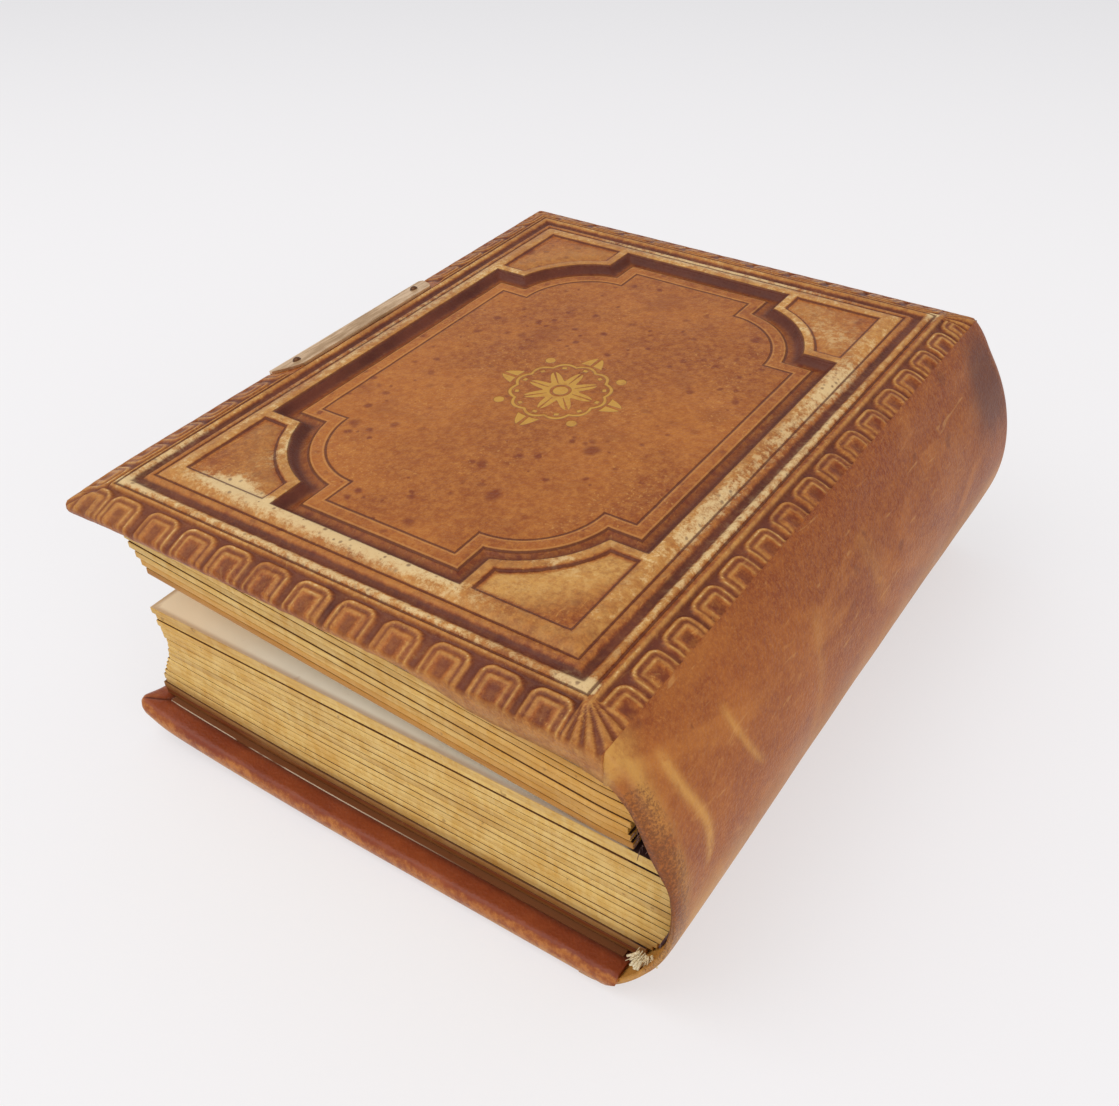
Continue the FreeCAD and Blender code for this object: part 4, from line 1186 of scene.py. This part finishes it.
def headband_tuft():
    """The headband's frayed end by the spine's lower corner: twisted cords and their loose threads."""
    mesh = bmesh.new()
    middle = (tuft_lo + tuft_hi) / 2
    root = Vector((middle.x + 0.6 * MM, tuft_lo.y + 1.2 * MM, middle.z - 0.6 * MM))
    tuft(mesh, root, 13, 0.55, (-0.55, -1.0, -0.55), (1.6, 2.5), (0.28, 0.42), 0.3)
    tuft(mesh, root, 22, 0.8, (-0.3, -1.0, -0.2), (1.2, 2.6), (0.07, 0.13))
    tuft(mesh, root + Vector((1.4, 0, 1.2)) * MM, 8, 0.5, (0.2, -1.0, 0.3), (1.0, 1.8), (0.2, 0.3), 0.4)
    bmesh.ops.recalc_face_normals(mesh, faces=mesh.faces)
    made = piece("headband_threads", mesh, thread_finish())
    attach(made, "book_block")
    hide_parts("headband_remnant")


def spine_lining():
    """The cloth glued inside the spine: a curved sheet, torn and frayed at its head end."""
    low, high = lining_lo.z + 7 * MM, lining_hi.z - 0.5 * MM
    cloth = 0.5 * MM
    radius = crown_radius - spine_wall - 0.25 * MM
    columns, rows = 30, 90
    mesh = grid(columns, rows)
    for vert in mesh.verts:
        z = low + (high - low) * vert.co.x / columns
        ragged = 1.3 * MM * math.sin(vert.co.x * 1.9) * math.sin(vert.co.x * 0.7) * (vert.co.y < 0.5)
        y = lining_lo.y + (lining_hi.y - lining_lo.y) * vert.co.y / rows + abs(ragged)
        vert.co = (crown_x + math.sqrt(radius ** 2 - (z - crown_z) ** 2) - cloth, y, z)
    bmesh.ops.recalc_face_normals(mesh, faces=mesh.faces)
    bmesh.ops.solidify(mesh, geom=mesh.faces[:] + mesh.edges[:] + mesh.verts[:], thickness=cloth)
    torn = Vector((fore + 130.3 * MM, lining_lo.y + 1.6 * MM, 42.0 * MM))
    for up, count in ((-2.0, 4), (0.5, 6), (3.0, 6)):
        tuft(mesh, torn + Vector((0, 0, up)) * MM, count, 0.8, (0.1, -1.0, -0.3), (0.8, 1.8), (0.08, 0.14))
    bmesh.ops.recalc_face_normals(mesh, faces=mesh.faces)
    made = piece("spine_lining_visual", mesh, lining_finish())
    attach(made, "book_block")
    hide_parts("spine_lining")


# --- pieces kept from the frame ---------------------------------------------------------------------
def repaint(finish, *nodes):
    """Gives pieces of the frame a finish and leaves their shape alone."""
    for name in nodes:
        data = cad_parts[name].data
        data.materials.clear()
        data.materials.append(finish)


# --- floor, light and camera ------------------------------------------------------------------------
def studio():
    """A near-white floor that fills the view, and soft light from the upper left and from the right."""
    mesh = bmesh.new()
    bmesh.ops.create_grid(mesh, x_segments=1, y_segments=1, size=4.0)
    mat = Finish("pale_floor", roughness=0.9, specular=0.1)
    # painted shade: the floor is darker away from the camera
    away = mat.ramp(mat.y - 0.55 * mat.x, 0.15, 1.0)
    mat.colour = mat.blend(away, tone(244, 242, 243), tone(226, 225, 227))
    floor = piece("floor", mesh, mat.finish(), smooth=False)
    glow = mat.node("ShaderNodeEmission", Color=mat.colour, Strength=1.0)
    # the floor glows towards white where it is seen, and keeps the album's shadow
    glow_share = 0.62
    path = mat.tree.nodes.new("ShaderNodeLightPath")
    seen = most(*(Field(path.outputs[f"Is {kind} Ray"]) for kind in ("Camera", "Glossy", "Transmission")))
    mixed = mat.tree.nodes.new("ShaderNodeMixShader")
    for socket, value in zip(mixed.inputs, (glow_share * seen, mat.shader.outputs[0], glow.outputs[0])):
        put(socket, value)
    output = next(n for n in mat.tree.nodes if n.type == "OUTPUT_MATERIAL")
    put(output.inputs["Surface"], mixed.outputs[0])

    world = bpy.data.worlds.new("studio")
    bpy.context.scene.world = world
    world.use_nodes = True
    sky = world.node_tree.nodes["Background"]
    sky.inputs["Color"].default_value = (0.97, 0.98, 1.0, 1)
    sky.inputs["Strength"].default_value = 0.72

    for name, place, size, energy in (("key", (-0.35, -0.35, 1.0), 0.9, 4.2),
                                      ("fill", (1.1, -0.5, 0.45), 0.8, 4.0)):
        light = bpy.data.lights.new(name, "AREA")
        light.size = size
        light.energy = energy
        lamp = bpy.data.objects.new(name, light)
        lamp.location = place
        lamp.rotation_euler = (Vector((0, 0, 0.03)) - Vector(place)).to_track_quat("-Z", "Y").to_euler()
        bpy.context.scene.collection.objects.link(lamp)


def camera():
    """Looks down on the album from beyond its head, on the spine's side."""
    data = bpy.data.cameras.new("camera")
    data.lens = 39.18
    data.sensor_width = 36
    data.shift_x = -0.08
    made = bpy.data.objects.new("camera", data)
    bpy.context.scene.collection.objects.link(made)
    azimuth, elevation, roll = math.radians(33.273), math.radians(38.926), math.radians(-1.657)
    forward = Vector((-math.sin(azimuth) * math.cos(elevation), math.cos(azimuth) * math.cos(elevation),
                      -math.sin(elevation)))
    made.location = (0.13253, -0.17620, 0.20271)
    made.rotation_mode = "QUATERNION"
    made.rotation_quaternion = forward.to_track_quat("-Z", "Y") @ Quaternion((0, 0, 1), roll)
    data.clip_start, data.clip_end = 0.01, 20
    bpy.context.scene.camera = made


smooth_tan = spine_leather()
front_cover()
front_board()
spine()
back_cover()
back_board()
leaves()
headband_tuft()
spine_lining()
worn_brass = brass("worn_brass_sheet")
dark_brass = brass("dark_brass_rivets", dark=1.0)
repaint(worn_brass, "clasp_plate", "hasp", "catch_plate")
repaint(dark_brass, "clasp_rivets", "catch_rivets", "clasp_pin", "catch_stud")
repaint(endpaper_finish(), "front_endpaper", "back_endpaper")
studio()
camera()
bpy.context.scene.view_settings.view_transform = "Standard"
